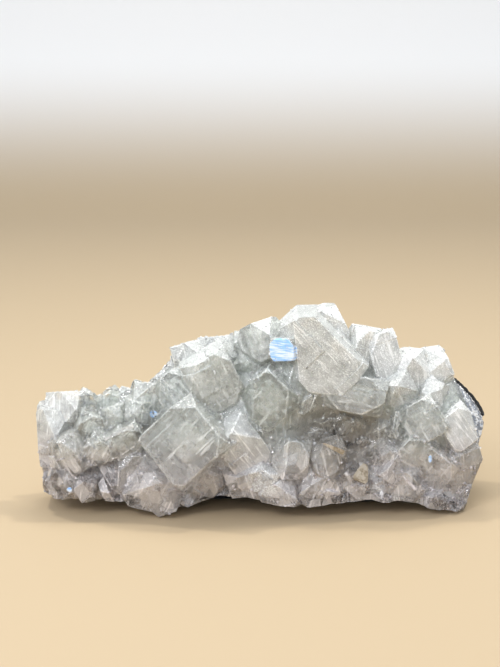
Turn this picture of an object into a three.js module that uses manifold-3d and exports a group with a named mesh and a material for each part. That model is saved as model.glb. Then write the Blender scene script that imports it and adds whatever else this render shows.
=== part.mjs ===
// Apophyllite cluster: a hand specimen broken from the wall of a basalt cavity.
// Three things grew on each other, and each is one solid: the basalt matrix, the thin
// chalcedony rind that lined the cavity, and the crust of blocky apophyllite crystals on it.
// Millimetres, +Z up, the crystal face towards -Y. The specimen stands on z = 0.

import * as THREE from "three";
import { mergeVertices } from "three/addons/utils/BufferGeometryUtils.js";
import Module from "manifold-3d";

const wasm = await Module();
wasm.setup();

// ---------------------------------------------------------------- driving dimensions

const GAP = 0.4; // air left between two solids that grew on each other
const RIND = 3.2; // thickness of the chalcedony rind
const BED = 11; // thickness of the massive foot of the crust, under the crystals
const HOST_CENTRE = new THREE.Vector3(6, 14, 9);
const HOST_HALF_LENGTH = 67.5; // the matrix runs from end to end of the specimen
const HOST_HALF_DEPTH = 21;
const HOST_RISE_LEFT = 11; // height of the matrix over its centre, at the low end
const HOST_SQUARENESS = 3.1; // 2 is an ellipsoid, more is nearer to a rounded box
const HOST_DETAIL = 5; // subdivisions of the sphere that the matrix is shaped from
const PYRAMID = THREE.MathUtils.degToRad(60.4); // apophyllite's (001) to (101)
const SHALLOWEST_CUT = 0.75; // of the depth asked for: no two corners are cut alike
const DEEPEST_CUT = 1.8;
const SMALL_COUNT = 430; // places tried for small crystals, all round
const SMALL_WIDTH = 4.5; // the narrowest of them; the widest is 1.9 times that
const SUNK_IN_FRONT = 1.4; // how far their middles lie under the bed's surface
const SUNK_ON_TOP = 4.4;
const SEED = 11;

// ---------------------------------------------------------------- helpers

const toRadians = THREE.MathUtils.degToRad;
const smooth = THREE.MathUtils.smoothstep;

// A repeatable stream of numbers from 0 to 1.
function randomStream(seed) {
  let state = seed;
  return () => {
    state = (state + 0x6d2b79f5) | 0;
    let t = Math.imul(state ^ (state >>> 15), 1 | state);
    t = (t + Math.imul(t ^ (t >>> 7), 61 | t)) ^ t;
    return ((t ^ (t >>> 14)) >>> 0) / 4294967296;
  };
}

// A closed geometry as a solid that can be cut and joined.
function solidOf(geometry) {
  const bare = geometry.clone();
  bare.deleteAttribute("normal");
  bare.deleteAttribute("uv");
  const merged = mergeVertices(bare, 1e-4);
  return new wasm.Manifold(
    new wasm.Mesh({
      numProp: 3,
      vertProperties: merged.attributes.position.array,
      triVerts: new Uint32Array(merged.index.array),
    }),
  );
}

// The part of a solid behind a plane, which faces away from what is kept.
function cutOff(solid, plane) {
  const { x, y, z } = plane.normal;
  return solid.trimByPlane([-x, -y, -z], plane.constant);
}

function planeThrough(point, normal) {
  return new THREE.Plane().setFromNormalAndCoplanarPoint(
    new THREE.Vector3(...normal).normalize(),
    new THREE.Vector3(...point),
  );
}

function meshOf(name, solid, material) {
  const { numProp, numVert, vertProperties, triVerts } = solid.getMesh();
  const positions = new Float32Array(numVert * 3);
  for (let i = 0; i < numVert; i++) {
    positions.set(vertProperties.subarray(i * numProp, i * numProp + 3), i * 3);
  }
  const geometry = new THREE.BufferGeometry()
    .setAttribute("position", new THREE.BufferAttribute(positions, 3))
    .setIndex(new THREE.BufferAttribute(triVerts, 1));
  geometry.computeVertexNormals();
  const mesh = new THREE.Mesh(geometry, material);
  mesh.name = name;
  return mesh;
}

// ---------------------------------------------------------------- the host's form

// Height of the matrix over its centre: a low end, a step up, the crest, and a fall.
function hostRise(x) {
  const step = 17 * smooth(x, -42, -16);
  const crest = 9 * smooth(x, -15, 15);
  return HOST_RISE_LEFT + step + crest;
}

// A direction from the host's centre, drawn out to the unit rounded box.
function squared(direction) {
  const { x, y, z } = direction;
  const reach = [x, y, z].reduce((sum, v) => sum + Math.abs(v) ** HOST_SQUARENESS, 0);
  return direction.multiplyScalar(reach ** (-1 / HOST_SQUARENESS));
}

// A lumpy shift of the surface, by direction, the same for every layer.
function hostLump(a, b, c) {
  return (
    1.3 * Math.sin(5.1 * a + 2.3 * c + 0.4) +
    0.9 * Math.sin(7.7 * b - 5.2 * a + 1.9) +
    0.7 * Math.sin(9.3 * c + 6.1 * a - 0.7)
  );
}

const NOWHERE = () => 0;

// The point of the matrix's surface in a direction, moved out by a layer's thickness.
// thinning says how much of the layer is missing at a place in the front view.
function hostPoint(direction, layer, thinning = NOWHERE) {
  const { x: a, y: b, z: c } = squared(direction.clone());
  const rise = c > 0 ? hostRise(HOST_CENTRE.x + a * HOST_HALF_LENGTH) : HOST_RISE_LEFT;
  const place = (out) =>
    new THREE.Vector3(HOST_HALF_LENGTH + out, HOST_HALF_DEPTH + out, rise + out)
      .multiply(new THREE.Vector3(a, b, c))
      .add(HOST_CENTRE);
  const whole = layer + hostLump(a, b, c);
  const { x, z } = place(whole);
  return place(whole - thinning(x, z));
}

// The matrix with a layer grown on it, as a closed faceted lump.
function hostSolid(layer, thinning = NOWHERE) {
  const geometry = new THREE.IcosahedronGeometry(1, HOST_DETAIL);
  const position = geometry.attributes.position;
  const direction = new THREE.Vector3();
  for (let i = 0; i < position.count; i++) {
    direction.fromBufferAttribute(position, i).normalize();
    const { x, y, z } = hostPoint(direction, layer, thinning);
    position.setXYZ(i, x, y, z);
  }
  return solidOf(geometry);
}

// ---------------------------------------------------------------- crystals

// An apophyllite block: a square prism with flat ends, its eight corners cut by the pyramid.
// It is made upright and face on, then rolled clockwise in the picture plane, tipped
// towards the viewer and turned about the vertical, in that order, all in degrees.
// cut is how deep the pyramid cuts two opposite corners of a face, trim the other two, each
// made a little uneven. Where cuts is given, it lists the depth at all eight corners instead.
function crystal({ at, width, length, cut, trim = cut, cuts, roll, tip, yaw }) {
  const random = randomStream(Math.round(at[0] * 31 + at[1] * 57 + at[2] * 83));
  const turn = new THREE.Euler(toRadians(tip), toRadians(roll), toRadians(yaw), "ZXY");
  const pose = new THREE.Matrix4().compose(
    new THREE.Vector3(...at),
    new THREE.Quaternion().setFromEuler(turn),
    new THREE.Vector3(1, 1, 1),
  );
  let block = solidOf(new THREE.BoxGeometry(width, width, length).applyMatrix4(pose));
  for (const i of [-1, 1]) {
    for (const j of [-1, 1]) {
      for (const k of [-1, 1]) {
        const side = Math.sin(PYRAMID) * Math.SQRT1_2;
        const normal = new THREE.Vector3(i * side, j * side, k * Math.cos(PYRAMID));
        const corner = new THREE.Vector3((i * width) / 2, (j * width) / 2, (k * length) / 2);
        const share = THREE.MathUtils.lerp(SHALLOWEST_CUT, DEEPEST_CUT, random());
        const order = 2 * (i + 1) + (j + 1) + (k + 1) / 2;
        const depth = cuts ? cuts[order] : share * (i * k > 0 ? cut : trim);
        corner.addScaledVector(normal, -depth);
        const face = new THREE.Plane().setFromNormalAndCoplanarPoint(normal, corner);
        block = cutOff(block, face.applyMatrix4(pose));
      }
    }
  }
  return block;
}

// How deep the eight corners of the two largest are cut: left before right, front before back
// and foot before head, all in the crystal's own axes.
const CROWN_CUTS = [4, 8, 2, 2, 2.8, 0.4, 2, 2];
const LOZENGE_CUTS = [0.8, 3.4, 1, 1, 1.6, 2.6, 1, 1];

const CREST = [
  // the crown, the largest block on the ridge, and what leans on it
  { at: [18, -12, 54], width: 19, length: 28.5, cuts: CROWN_CUTS, roll: -44, tip: 5, yaw: -2 },
  { at: [7.8, -17.9, 56.4], width: 8.7, length: 7.5, cut: 0.6, roll: -6, tip: 0, yaw: -24 },
  { at: [1, -11, 56.5], width: 13.5, length: 13, cut: 3.6, trim: 2.4, roll: -30, tip: -8, yaw: -34 },
  { at: [21, -5, 60], width: 13, length: 15, cut: 2.6, trim: 1.4, roll: -24, tip: -4, yaw: 6 },
  { at: [32.8, -8, 52.3], width: 9.5, length: 18, cut: 1.6, roll: 12, tip: 2, yaw: 22 },
  { at: [40, -8, 51.5], width: 10, length: 16, cut: 2, roll: -14, tip: -6, yaw: 12 },
  { at: [49, -6, 45], width: 12, length: 15, cut: 2.6, roll: -6, tip: 6, yaw: 20 },
  { at: [58, -3, 45.5], width: 13, length: 13.5, cut: 3.2, roll: 10, tip: 8, yaw: -8 },
  { at: [45, -11, 41], width: 11, length: 12, cut: 3, roll: -30, tip: 22, yaw: 15 },
  { at: [56.5, -9, 38.5], width: 10, length: 11, cut: 2.4, roll: 35, tip: 4, yaw: 10 },
  { at: [-4.5, -4, 52], width: 12, length: 12, cut: 2.4, roll: 12, tip: -12, yaw: 10 },
  { at: [-13.5, -4, 51], width: 14, length: 12, cut: 3.4, roll: -6, tip: -14, yaw: -6 },
  { at: [-22.5, -5, 49.3], width: 14, length: 13, cut: 3.4, trim: 2.6, roll: -14, tip: -10, yaw: 4 },
];

const MIDDLE = [
  // the hexagonal block and its neighbours
  { at: [2.5, -17, 40], width: 15.5, length: 15.5, cut: 3.4, trim: 1, roll: 44, tip: 0, yaw: -6 },
  { at: [11, -14, 45.5], width: 10, length: 12, cut: 1.6, roll: -10, tip: -14, yaw: 26 },
  { at: [14, -15, 37.5], width: 8.5, length: 9.5, cut: 2.4, roll: 18, tip: 10, yaw: 20 },
  { at: [-4.5, -10, 48.5], width: 9, length: 9, cut: 1.6, roll: 30, tip: 14, yaw: -20 },
  { at: [-16.5, -14, 45.5], width: 15.5, length: 18, cut: 1.4, trim: 2.4, roll: -27, tip: 4, yaw: 8 },
  { at: [30, -15, 40.5], width: 12, length: 21, cut: 2, roll: 101, tip: -8, yaw: -4 },
  { at: [53.5, -13.5, 31.5], width: 12.5, length: 13.5, cut: 1.6, roll: -32, tip: -6, yaw: -6 },
  { at: [64.3, -11, 28], width: 11.5, length: 13, cut: 1.2, roll: -33, tip: -8, yaw: 14 },
  // small ones at the back of the hollow
  { at: [19, -9, 29], width: 11, length: 12, cut: 2, roll: 20, tip: 30, yaw: -20 },
  { at: [30, -8, 28], width: 12, length: 12, cut: 2.4, roll: -14, tip: 24, yaw: 10 },
  { at: [41, -9, 29], width: 11, length: 12, cut: 2.4, roll: 24, tip: 20, yaw: 24 },
  { at: [6, -12, 26], width: 10, length: 11, cut: 2, roll: -24, tip: 20, yaw: 6 },
  { at: [13, -11, 24], width: 10, length: 10, cut: 2, roll: 14, tip: 32, yaw: -12 },
];

const LEFT_OF_MIDDLE = [
  // the striated lozenge
  { at: [-22.3, -19.3, 26], width: 22, length: 23, cuts: LOZENGE_CUTS, roll: 45, tip: -8, yaw: -20 },
  { at: [-27, -11, 40], width: 13, length: 14, cut: 2, roll: -40, tip: -12, yaw: -10 },
  { at: [-38, -8, 36], width: 12, length: 12, cut: 2.2, roll: 14, tip: -8, yaw: 14 },
  // the lilac wedge
  { at: [-7, -19, 23.5], width: 14, length: 22, cut: 2.4, roll: -36, tip: 12, yaw: 20 },
  { at: [-20, -17, 13], width: 13, length: 14, cut: 2, roll: 30, tip: 20, yaw: -10 },
  { at: [-5, -18, 12.5], width: 13, length: 14, cut: 2, roll: -20, tip: 24, yaw: 10 },
];

const LOWER_LEFT = [
  { at: [-35, -17, 10.5], width: 18, length: 18, cut: 3.4, roll: 26, tip: 24, yaw: -12 },
  { at: [-52.5, -19, 8.5], width: 11.5, length: 16, cut: 6.2, roll: 4, tip: 8, yaw: 40 },
  { at: [-43.5, -17, 14.5], width: 10, length: 14, cut: 2, roll: 4, tip: 6, yaw: 14 },
  { at: [-64, -15, 11.5], width: 12, length: 12, cut: 2.6, roll: 10, tip: 16, yaw: -30 },
  { at: [-58.5, -19, 10], width: 8.5, length: 8.5, cut: 1.8, roll: 10, tip: 10, yaw: -14 },
  { at: [-69.5, -8, 27], width: 12, length: 15, cut: 2.4, roll: 8, tip: 0, yaw: -36 },
  { at: [-71.5, -8, 18.5], width: 8, length: 8, cut: 1.2, roll: 46, tip: 6, yaw: -20 },
  { at: [-63, -16, 21], width: 12, length: 13, cut: 2.2, roll: -24, tip: 14, yaw: -20 },
  { at: [-66, -6, 33.5], width: 12, length: 10, cut: 2.2, roll: -6, tip: -14, yaw: -14 },
  { at: [-59, -5, 34.5], width: 8, length: 8.5, cut: 1.8, roll: 34, tip: -12, yaw: 10 },
  { at: [-51, -5, 34], width: 10, length: 9, cut: 1.8, roll: -28, tip: -16, yaw: 22 },
  { at: [-44, -5, 34], width: 9, length: 10, cut: 1.6, roll: 12, tip: -20, yaw: -14 },
  { at: [-57, -13, 29], width: 10, length: 10, cut: 2, roll: 22, tip: 6, yaw: 12 },
  { at: [-49, -12, 31], width: 9, length: 9, cut: 1.8, roll: -16, tip: 0, yaw: -22 },
  { at: [-45, -17, 25.5], width: 10, length: 13, cut: 1.6, roll: 58, tip: 10, yaw: 8 },
  { at: [-53, -17, 22.5], width: 10, length: 11, cut: 2, roll: 30, tip: 16, yaw: -8 },
  { at: [-41, -12, 33], width: 10, length: 10, cut: 2, roll: 8, tip: 6, yaw: 14 },
  { at: [-38, -16, 18], width: 8, length: 9, cut: 1.8, roll: -20, tip: 12, yaw: 18 },
];

const LOWER_RIGHT = [
  { at: [1, -21, 14.5], width: 10, length: 9, cut: 1.8, roll: 28, tip: 10, yaw: -24 },
  { at: [10, -20, 20], width: 12, length: 13, cut: 2.4, roll: 6, tip: -6, yaw: -8 },
  { at: [21, -19, 19.5], width: 12, length: 12, cut: 2.4, roll: -12, tip: -8, yaw: 14 },
  { at: [6, -20, 9], width: 12, length: 11, cut: 2, roll: -16, tip: 16, yaw: -8 },
  { at: [18, -19, 10.5], width: 13, length: 12, cut: 2, roll: 18, tip: 10, yaw: 10 },
  { at: [30, -16, 11], width: 11, length: 12, cut: 1.6, roll: -30, tip: 16, yaw: -12 },
  { at: [42, -14, 17.5], width: 12, length: 13, cut: 2.4, roll: 22, tip: 8, yaw: -22 },
  { at: [50, -14, 21], width: 12, length: 13, cut: 1.6, roll: -50, tip: 10, yaw: 8 },
  { at: [56.5, -11, 15.5], width: 15, length: 17, cut: 2.4, roll: 38, tip: 12, yaw: -16 },
  { at: [65.5, -6.5, 13], width: 16, length: 20, cut: 2, roll: -14, tip: 12, yaw: 32 },
  { at: [46, -14, 9.5], width: 14, length: 13, cut: 2.8, roll: -8, tip: 8, yaw: -6 },
  { at: [37, -15, 9.5], width: 11, length: 10, cut: 2.4, roll: 26, tip: 14, yaw: 8 },
];

// Small crystals that fill the joints, spread in a spiral over the front and top of the bed.
function scatteredCrystals() {
  const random = randomStream(SEED);
  const goldenAngle = Math.PI * (3 - Math.sqrt(5));
  const grown = [];
  for (let i = 0; i < SMALL_COUNT; i++) {
    const up = 1 - (2 * (i + 0.5)) / SMALL_COUNT;
    const direction = new THREE.Vector3();
    direction.setFromSphericalCoords(1, Math.acos(up), i * goldenAngle);
    [direction.y, direction.z] = [direction.z, direction.y];
    const [size, slim, blunt, turn] = [random(), random(), random(), random()];
    const isBehind = direction.y > 0.1;
    if (isBehind) continue;
    const sunk = direction.z > 0.5 ? SUNK_ON_TOP : SUNK_IN_FRONT;
    const width = SMALL_WIDTH * (1 + 0.9 * size ** 2);
    grown.push({
      at: hostPoint(direction, RIND + BED - sunk, bedThinning).toArray(),
      width,
      length: width * (1 + 0.35 * slim),
      cut: width * (0.08 + 0.16 * blunt),
      roll: 90 * slim - 45,
      tip: 60 * blunt - 20,
      yaw: 90 * turn - 45,
    });
  }
  return grown;
}

// ---------------------------------------------------------------- cuts

// A soft dimple in the front view: its middle, how far it reaches each way, and its depth.
function dimple(x, z, [middleX, middleZ], [reachX, reachZ], depth) {
  return depth * Math.exp(-(((x - middleX) / reachX) ** 2) - ((z - middleZ) / reachZ) ** 2);
}

// Where the bed is thinner: a hollow under the crest, and the shoulder above the right end.
function bedThinning(x, z) {
  const hollow = dimple(x, z, [27, 28], [17, 9], 9);
  const shoulder = dimple(x, z, [56, 58], [18, 14], 7);
  return hollow + shoulder;
}

// What was broken away under the crust, seen from the front: two feet are left standing.
function brokenUnderside() {
  const edge = [
    [-90, 5.5], [-60, 4.8], [-50, 5], [-45, 4.4], [-40, 2.8], [-35.5, 2], [-34, 0], [-32, 0],
    [-30.5, 2.4], [-23, 4], [-16, 6.8], [-5, 7], [0, 5.6], [8, 4.8], [18, 4.6], [27, 5.4],
    [36, 5.8], [49, 4.6], [58, 2.4], [66, 1], [90, 1], [90, -30], [-90, -30],
  ];
  const outline = new THREE.Shape(edge.map(([x, z]) => new THREE.Vector2(x, z)));
  const block = new THREE.ExtrudeGeometry(outline, { depth: 120, bevelEnabled: false });
  return solidOf(block.rotateX(Math.PI / 2).translate(0, 60, 0));
}

const GROUND = planeThrough([0, 0, 0], [0, 0, -1]);
const BACK_OF_BED = planeThrough([0, 13, 30], [0.1, 1, 0.1]);
const BACK_OF_LEFT_END = planeThrough([-52, 11, 20], [-0.3, 1, -0.2]);
const BACK_OF_CREST = planeThrough([15, 11, 56], [-0.1, 0.8, 0.6]);
const BACK_OF_RIND = planeThrough([0, 16, 30], [0.1, 1, 0.1]);
const FRONT_OF_BULGE = planeThrough([0, 16 + GAP, 30], [-0.1, -1, -0.1]);
const LEFT_BREAK = planeThrough([-74.8, 0, 26], [-1, 0, -0.06]);
const RIGHT_BREAK = planeThrough([66.2, 0, 36], [1, 0.1, 0.35]);
const CROWN_TOP = planeThrough([15, -20, 67.4], [-0.03, -0.04, 1]);
const RIGHT_UNDERCUT = planeThrough([76.8, 0, 26], [1, 0, -0.36]);

// Faces left where the matrix was split, as point and outward normal.
const MATRIX_BREAKS = [
  [[0, 34, 20], [0.05, 1, -0.1]],
  [[-30, 31, 12], [-0.4, 1, 0.2]],
  [[45, 32, 20], [0.35, 1, 0.15]],
  [[10, 28, 38], [0, 0.8, 0.7]],
  [[62, 28, 14], [0.7, 1, -0.35]],
  [[-8, 33, 8], [-0.1, 1, -0.55]],
  [[38, 26, 40], [0.35, 0.6, 0.75]],
].map(([point, normal]) => planeThrough(point, normal));

// ---------------------------------------------------------------- the three solids

// Behind the edge of the rind the matrix stands out past it.
function basaltMatrix() {
  const bulge = cutOff(hostSolid(RIND + 1.4), FRONT_OF_BULGE);
  const whole = hostSolid(0).add(bulge);
  return [GROUND, RIGHT_UNDERCUT, ...MATRIX_BREAKS].reduce(cutOff, whole);
}

function chalcedonyRind() {
  const shell = hostSolid(RIND).subtract(hostSolid(GAP)).subtract(brokenUnderside());
  return [GROUND, RIGHT_UNDERCUT, BACK_OF_RIND].reduce(cutOff, shell);
}

function apophylliteCrust() {
  const placed = [...CREST, ...MIDDLE, ...LEFT_OF_MIDDLE, ...LOWER_LEFT, ...LOWER_RIGHT];
  const blocks = [...placed, ...scatteredCrystals()].map(crystal);
  const bed = hostSolid(RIND + BED, bedThinning);
  const grown = wasm.Manifold.union([bed, ...blocks]);
  const broken = grown.subtract(hostSolid(RIND + GAP)).subtract(brokenUnderside());
  const backs = [BACK_OF_BED, BACK_OF_LEFT_END, BACK_OF_CREST];
  const breaks = [GROUND, ...backs, LEFT_BREAK, RIGHT_BREAK, RIGHT_UNDERCUT, CROWN_TOP];
  return breaks.reduce(cutOff, broken);
}

// The largest connected body of a solid: cuts can leave crumbs.
function withoutCrumbs(solid) {
  const bodies = solid.decompose();
  return bodies.reduce((most, body) => (body.volume() > most.volume() ? body : most));
}

const finish = (color, roughness) =>
  new THREE.MeshStandardMaterial({ color, roughness, metalness: 0 });
const basalt = finish(0x2b2c2e, 0.85);
const chalcedony = finish(0xb9bfc6, 0.55);
const apophyllite = finish(0xcfd6ce, 0.15);

const cluster = new THREE.Group();
cluster.add(
  meshOf("basalt_matrix", withoutCrumbs(basaltMatrix()), basalt),
  meshOf("chalcedony_rind", withoutCrumbs(chalcedonyRind()), chalcedony),
  meshOf("apophyllite_crust", withoutCrumbs(apophylliteCrust()), apophyllite),
);

// The origin is under the middle of the whole specimen.
const extent = new THREE.Box3().setFromObject(cluster);
const middle = extent.getCenter(new THREE.Vector3());
cluster.position.set(-middle.x, -middle.y, -extent.min.z);

export default cluster;
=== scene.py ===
# %% [markdown]
# # An apophyllite cluster, grown crystal by crystal
# The real thing is a hand specimen about 15 cm long, knocked off the wall of a gas cavity in basalt.
# Black rock is at the back, a thin skin of chalcedony lies on it, and blocky apophyllite grew on that.
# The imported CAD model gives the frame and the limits. This lesson gives every crystal its bevelled
# edges, growth steps and growth lines, and gives the three minerals their look.

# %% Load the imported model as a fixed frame
import math
import random

import bmesh
import bpy
import numpy as np
from mathutils import Matrix, Vector, noise
from mathutils.bvhtree import BVHTree


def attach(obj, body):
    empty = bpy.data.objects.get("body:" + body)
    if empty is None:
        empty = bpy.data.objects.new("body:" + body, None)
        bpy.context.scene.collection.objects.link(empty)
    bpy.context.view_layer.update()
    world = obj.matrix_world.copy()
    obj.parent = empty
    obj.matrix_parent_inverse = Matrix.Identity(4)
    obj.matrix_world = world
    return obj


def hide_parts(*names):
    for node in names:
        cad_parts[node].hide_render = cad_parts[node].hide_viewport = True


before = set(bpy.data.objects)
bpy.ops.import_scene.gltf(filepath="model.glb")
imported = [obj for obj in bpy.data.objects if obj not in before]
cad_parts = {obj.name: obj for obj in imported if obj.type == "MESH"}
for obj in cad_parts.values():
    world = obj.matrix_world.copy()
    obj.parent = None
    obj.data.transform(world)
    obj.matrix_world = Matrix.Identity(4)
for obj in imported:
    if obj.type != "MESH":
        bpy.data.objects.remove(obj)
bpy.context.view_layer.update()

MM = 0.001  # the crystals are laid out in millimetres, and Blender works in metres
print("CAD nodes:", sorted(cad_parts))

# %% [markdown]
# ## Camera, light and floor
# A specimen like this is looked at from a little above, with a longish lens, so that its long side
# lies flat in the view. The light is a wide soft lamp overhead, slightly behind, as over a display
# table, and a pale room fills the front. A smaller lamp gives the tight shadows under the edge and
# the glints on single faces. The floor is a plain pale warm board colour, because clear crystal
# takes up the tone of what it lies on.

# %% Camera
CAMERA_AT = Vector((-4.9, -520.4, 160)) * MM
LOOKS_DOWN = 11.15  # degrees
scene = bpy.context.scene
camera_data = bpy.data.cameras.new("specimen_camera")
camera_data.lens = 85
camera_data.sensor_width = 36
camera = bpy.data.objects.new("specimen_camera", camera_data)
camera.location = CAMERA_AT
camera.rotation_euler = (math.radians(90 - LOOKS_DOWN), 0, 0)
scene.collection.objects.link(camera)
scene.camera = camera
print("camera is", round(camera.location.length, 3), "m from the origin")

# %% Small functions: a colour, a node and its inputs, and two that end a mesh


def colour(code):
    """An sRGB hex colour as linear red, green, blue and alpha."""
    parts = [int(code[i : i + 2], 16) / 255 for i in (1, 3, 5)]
    return [c / 12.92 if c <= 0.04045 else ((c + 0.055) / 1.055) ** 2.4 for c in parts] + [1]


def feed(tree, node, inputs):
    """Gives a node its inputs: those that are sockets are linked, the others are set as values."""
    for name, value in inputs.items():
        if isinstance(value, bpy.types.NodeSocket):
            tree.links.new(value, node.inputs[name])
        else:
            node.inputs[name].default_value = value


def add(tree, kind, inputs=None, **settings):
    """Adds a node with its settings and links, and gives its outputs."""
    node = tree.nodes.new(kind if "Node" in kind else "ShaderNode" + kind)
    for name, value in settings.items():
        setattr(node, name, value)
    feed(tree, node, inputs or {})
    return node.outputs


def mesh_of(body, name):
    """A bmesh as a plain mesh. The bmesh is freed."""
    mesh = bpy.data.meshes.new(name)
    body.to_mesh(mesh)
    body.free()
    return mesh


def applied(body, *helpers):
    """The mesh that an object's modifiers make. The object and its helpers are removed."""
    evaluated = body.evaluated_get(bpy.context.evaluated_depsgraph_get())
    result = bpy.data.meshes.new_from_object(evaluated)
    for leftover in (body, *helpers):
        bpy.data.objects.remove(leftover)
    return result


# %% Floor and backdrop
# One sheet of pale board lies flat under the specimen and curves up behind it, as a studio sweep.
SWEEP_START, SWEEP_RADIUS, SWEEP_TOP, SWEEP_HALF = 0.75, 0.5, 2.2, 3.0
SWEEP_STEPS = 24
profile = [(-SWEEP_HALF, 0.0), (SWEEP_START, 0.0)]
for step in range(1, SWEEP_STEPS + 1):
    turned = math.radians(90 * step / SWEEP_STEPS)
    rise = SWEEP_RADIUS * (1 - math.cos(turned))
    profile.append((SWEEP_START + SWEEP_RADIUS * math.sin(turned), rise))
profile.append((SWEEP_START + SWEEP_RADIUS, SWEEP_TOP))
floor_points = [(x, y, z) for y, z in profile for x in (-SWEEP_HALF, SWEEP_HALF)]
floor_faces = [(2 * i, 2 * i + 1, 2 * i + 3, 2 * i + 2) for i in range(len(profile) - 1)]
floor_mesh = bpy.data.meshes.new("floor")
floor_mesh.from_pydata(floor_points, [], floor_faces)
floor_mesh.polygons.foreach_set("use_smooth", np.ones(len(floor_faces), bool))
floor = bpy.data.objects.new("floor", floor_mesh)
scene.collection.objects.link(floor)
floor_paint = bpy.data.materials.new("pale_matt_board")
floor_paint.use_nodes = True
tree = floor_paint.node_tree
SOFT = {"interpolation_type": "SMOOTHSTEP"}  # a ramp that eases in and out
floor_place = add(tree, "TexCoord")["Object"]
floor_height = add(tree, "SeparateXYZ", {0: floor_place})[2]
faded = add(tree, "MapRange", {"Value": floor_height, "From Min": 0.0, "From Max": 0.13}, **SOFT)[0]
board = add(tree, "Mix", {0: faded, 6: colour("#B6A283"), 7: colour("#F4F3F0")}, data_type="RGBA")[2]
feed(tree, tree.nodes["Principled BSDF"], {"Base Color": board, "Roughness": 0.75})
floor_mesh.materials.append(floor_paint)
print("board:", len(floor_faces), "strips")

# %% Lamps and room
for name, place, aim, size, watts, tint in (
    ("wide_overhead", (0.05, 0.2, 0.75), (0, 0, 0.02), 0.3, 1.8, "#FFFDF8"),
    ("small_overhead_left", (-0.3, 0.14, 0.85), (0, 0, 0.02), 0.07, 2.5, "#FFFAF0"),
    ("small_overhead_right", (0.34, 0.1, 0.8), (0, 0, 0.02), 0.07, 2.3, "#FFFAF0"),
    ("front_fill", (-0.25, -0.85, 0.6), (0, 0, 0.03), 0.8, 4.5, "#F2F5FF"),
    ("front_window", (-0.42, -0.6, 0.5), (0, 0, 0.03), 0.16, 2.1, "#FAFAFF"),
):
    lamp_data = bpy.data.lights.new(name, "AREA")
    lamp_data.size = size
    lamp_data.energy = watts
    lamp_data.color = colour(tint)[:3]
    lamp = bpy.data.objects.new(name, lamp_data)
    lamp.location = place
    lamp.rotation_mode = "QUATERNION"
    lamp.rotation_quaternion = (Vector(aim) - Vector(place)).to_track_quat("-Z", "Y")
    scene.collection.objects.link(lamp)

room = bpy.data.worlds.new("pale_room")
scene.world = room
room.use_nodes = True
feed(room.node_tree, room.node_tree.nodes["Background"], {"Color": colour("#E8EFFA"), "Strength": 0.86})
scene.view_settings.view_transform = "Standard"

# %% [markdown]
# ## The form of the rock
# The cavity wall under the crystals is a rounded block: low at one end, with a step up to a crest.
# Rind and crust follow the same form, each a set distance further out, so one function draws all
# the layers. Its numbers are those of the CAD model.

# %% Numbers of the form, in millimetres
GAP = 0.4
RIND = 3.2
BED = 11
HOST_CENTRE = np.array([6.0, 14.0, 9.0])
HOST_HALF_LENGTH = 67.5
HOST_HALF_DEPTH = 21
HOST_RISE_LEFT = 11
HOST_SQUARENESS = 3.1
PYRAMID = math.radians(60.4)
MIDDLE_OF_SPECIMEN = np.array([0.9183, 0.6546, 0.0])


def smooth(x, low, high):
    """Eases from 0 at low to 1 at high."""
    t = np.clip((x - low) / (high - low), 0, 1)
    return t * t * (3 - 2 * t)


def dimple(x, z, middle, reach, depth):
    """A round hollow of this depth around a middle, seen from the front."""
    return depth * np.exp(-(((x - middle[0]) / reach[0]) ** 2) - ((z - middle[1]) / reach[1]) ** 2)


def bed_thinning(x, z):
    """How much thinner the bed is: behind the open hollow, and under the end of the crest."""
    return dimple(x, z, (27, 28), (17, 9), 9) + dimple(x, z, (56, 58), (18, 14), 7)


def host_points(directions, layer, thinning=None):
    """Points of the rock's surface in these directions, moved out by a layer's thickness."""
    reach = (np.abs(directions) ** HOST_SQUARENESS).sum(1, keepdims=True)
    a, b, c = (directions * reach ** (-1 / HOST_SQUARENESS)).T
    x = HOST_CENTRE[0] + a * HOST_HALF_LENGTH
    rise = HOST_RISE_LEFT + np.where(c > 0, 17 * smooth(x, -42, -16) + 9 * smooth(x, -15, 15), 0)
    lump = (
        1.3 * np.sin(5.1 * a + 2.3 * c + 0.4)
        + 0.9 * np.sin(7.7 * b - 5.2 * a + 1.9)
        + 0.7 * np.sin(9.3 * c + 6.1 * a - 0.7)
    )

    def place(out):
        sizes = np.stack([HOST_HALF_LENGTH + out, HOST_HALF_DEPTH + out, rise + out], 1)
        return sizes * np.stack([a, b, c], 1) + HOST_CENTRE

    out = layer + lump
    if thinning is not None:
        whole = place(out)
        out = out - thinning(whole[:, 0], whole[:, 2])
    return place(out)


def host_mesh(name, layer, thinning=None, detail=6):
    """The rock with a layer on it, as one closed mesh in millimetres."""
    ball = bmesh.new()
    bmesh.ops.create_icosphere(ball, subdivisions=detail, radius=1)
    directions = np.array([v.co.normalized() for v in ball.verts])
    for vertex, point in zip(ball.verts, host_points(directions, layer, thinning)):
        vertex.co = point
    return mesh_of(ball, name)


print("crest is at", round(float(host_points(np.array([[0.1, 0, 1.0]]), RIND + BED)[0, 2]), 1), "mm")

# %% [markdown]
# ## One crystal
# Apophyllite here grows as a square prism with flat ends, nearly a cube, and the pyramid faces cut
# its eight corners, each by a different amount. Real edges are never knife sharp, so every edge is
# bevelled a little before the block is joined to its neighbours. Each face keeps a number that says
# which crystal it belongs to, so that growth lines can later run along that crystal's own axes.

# %% A repeatable stream of numbers, and a block


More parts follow.
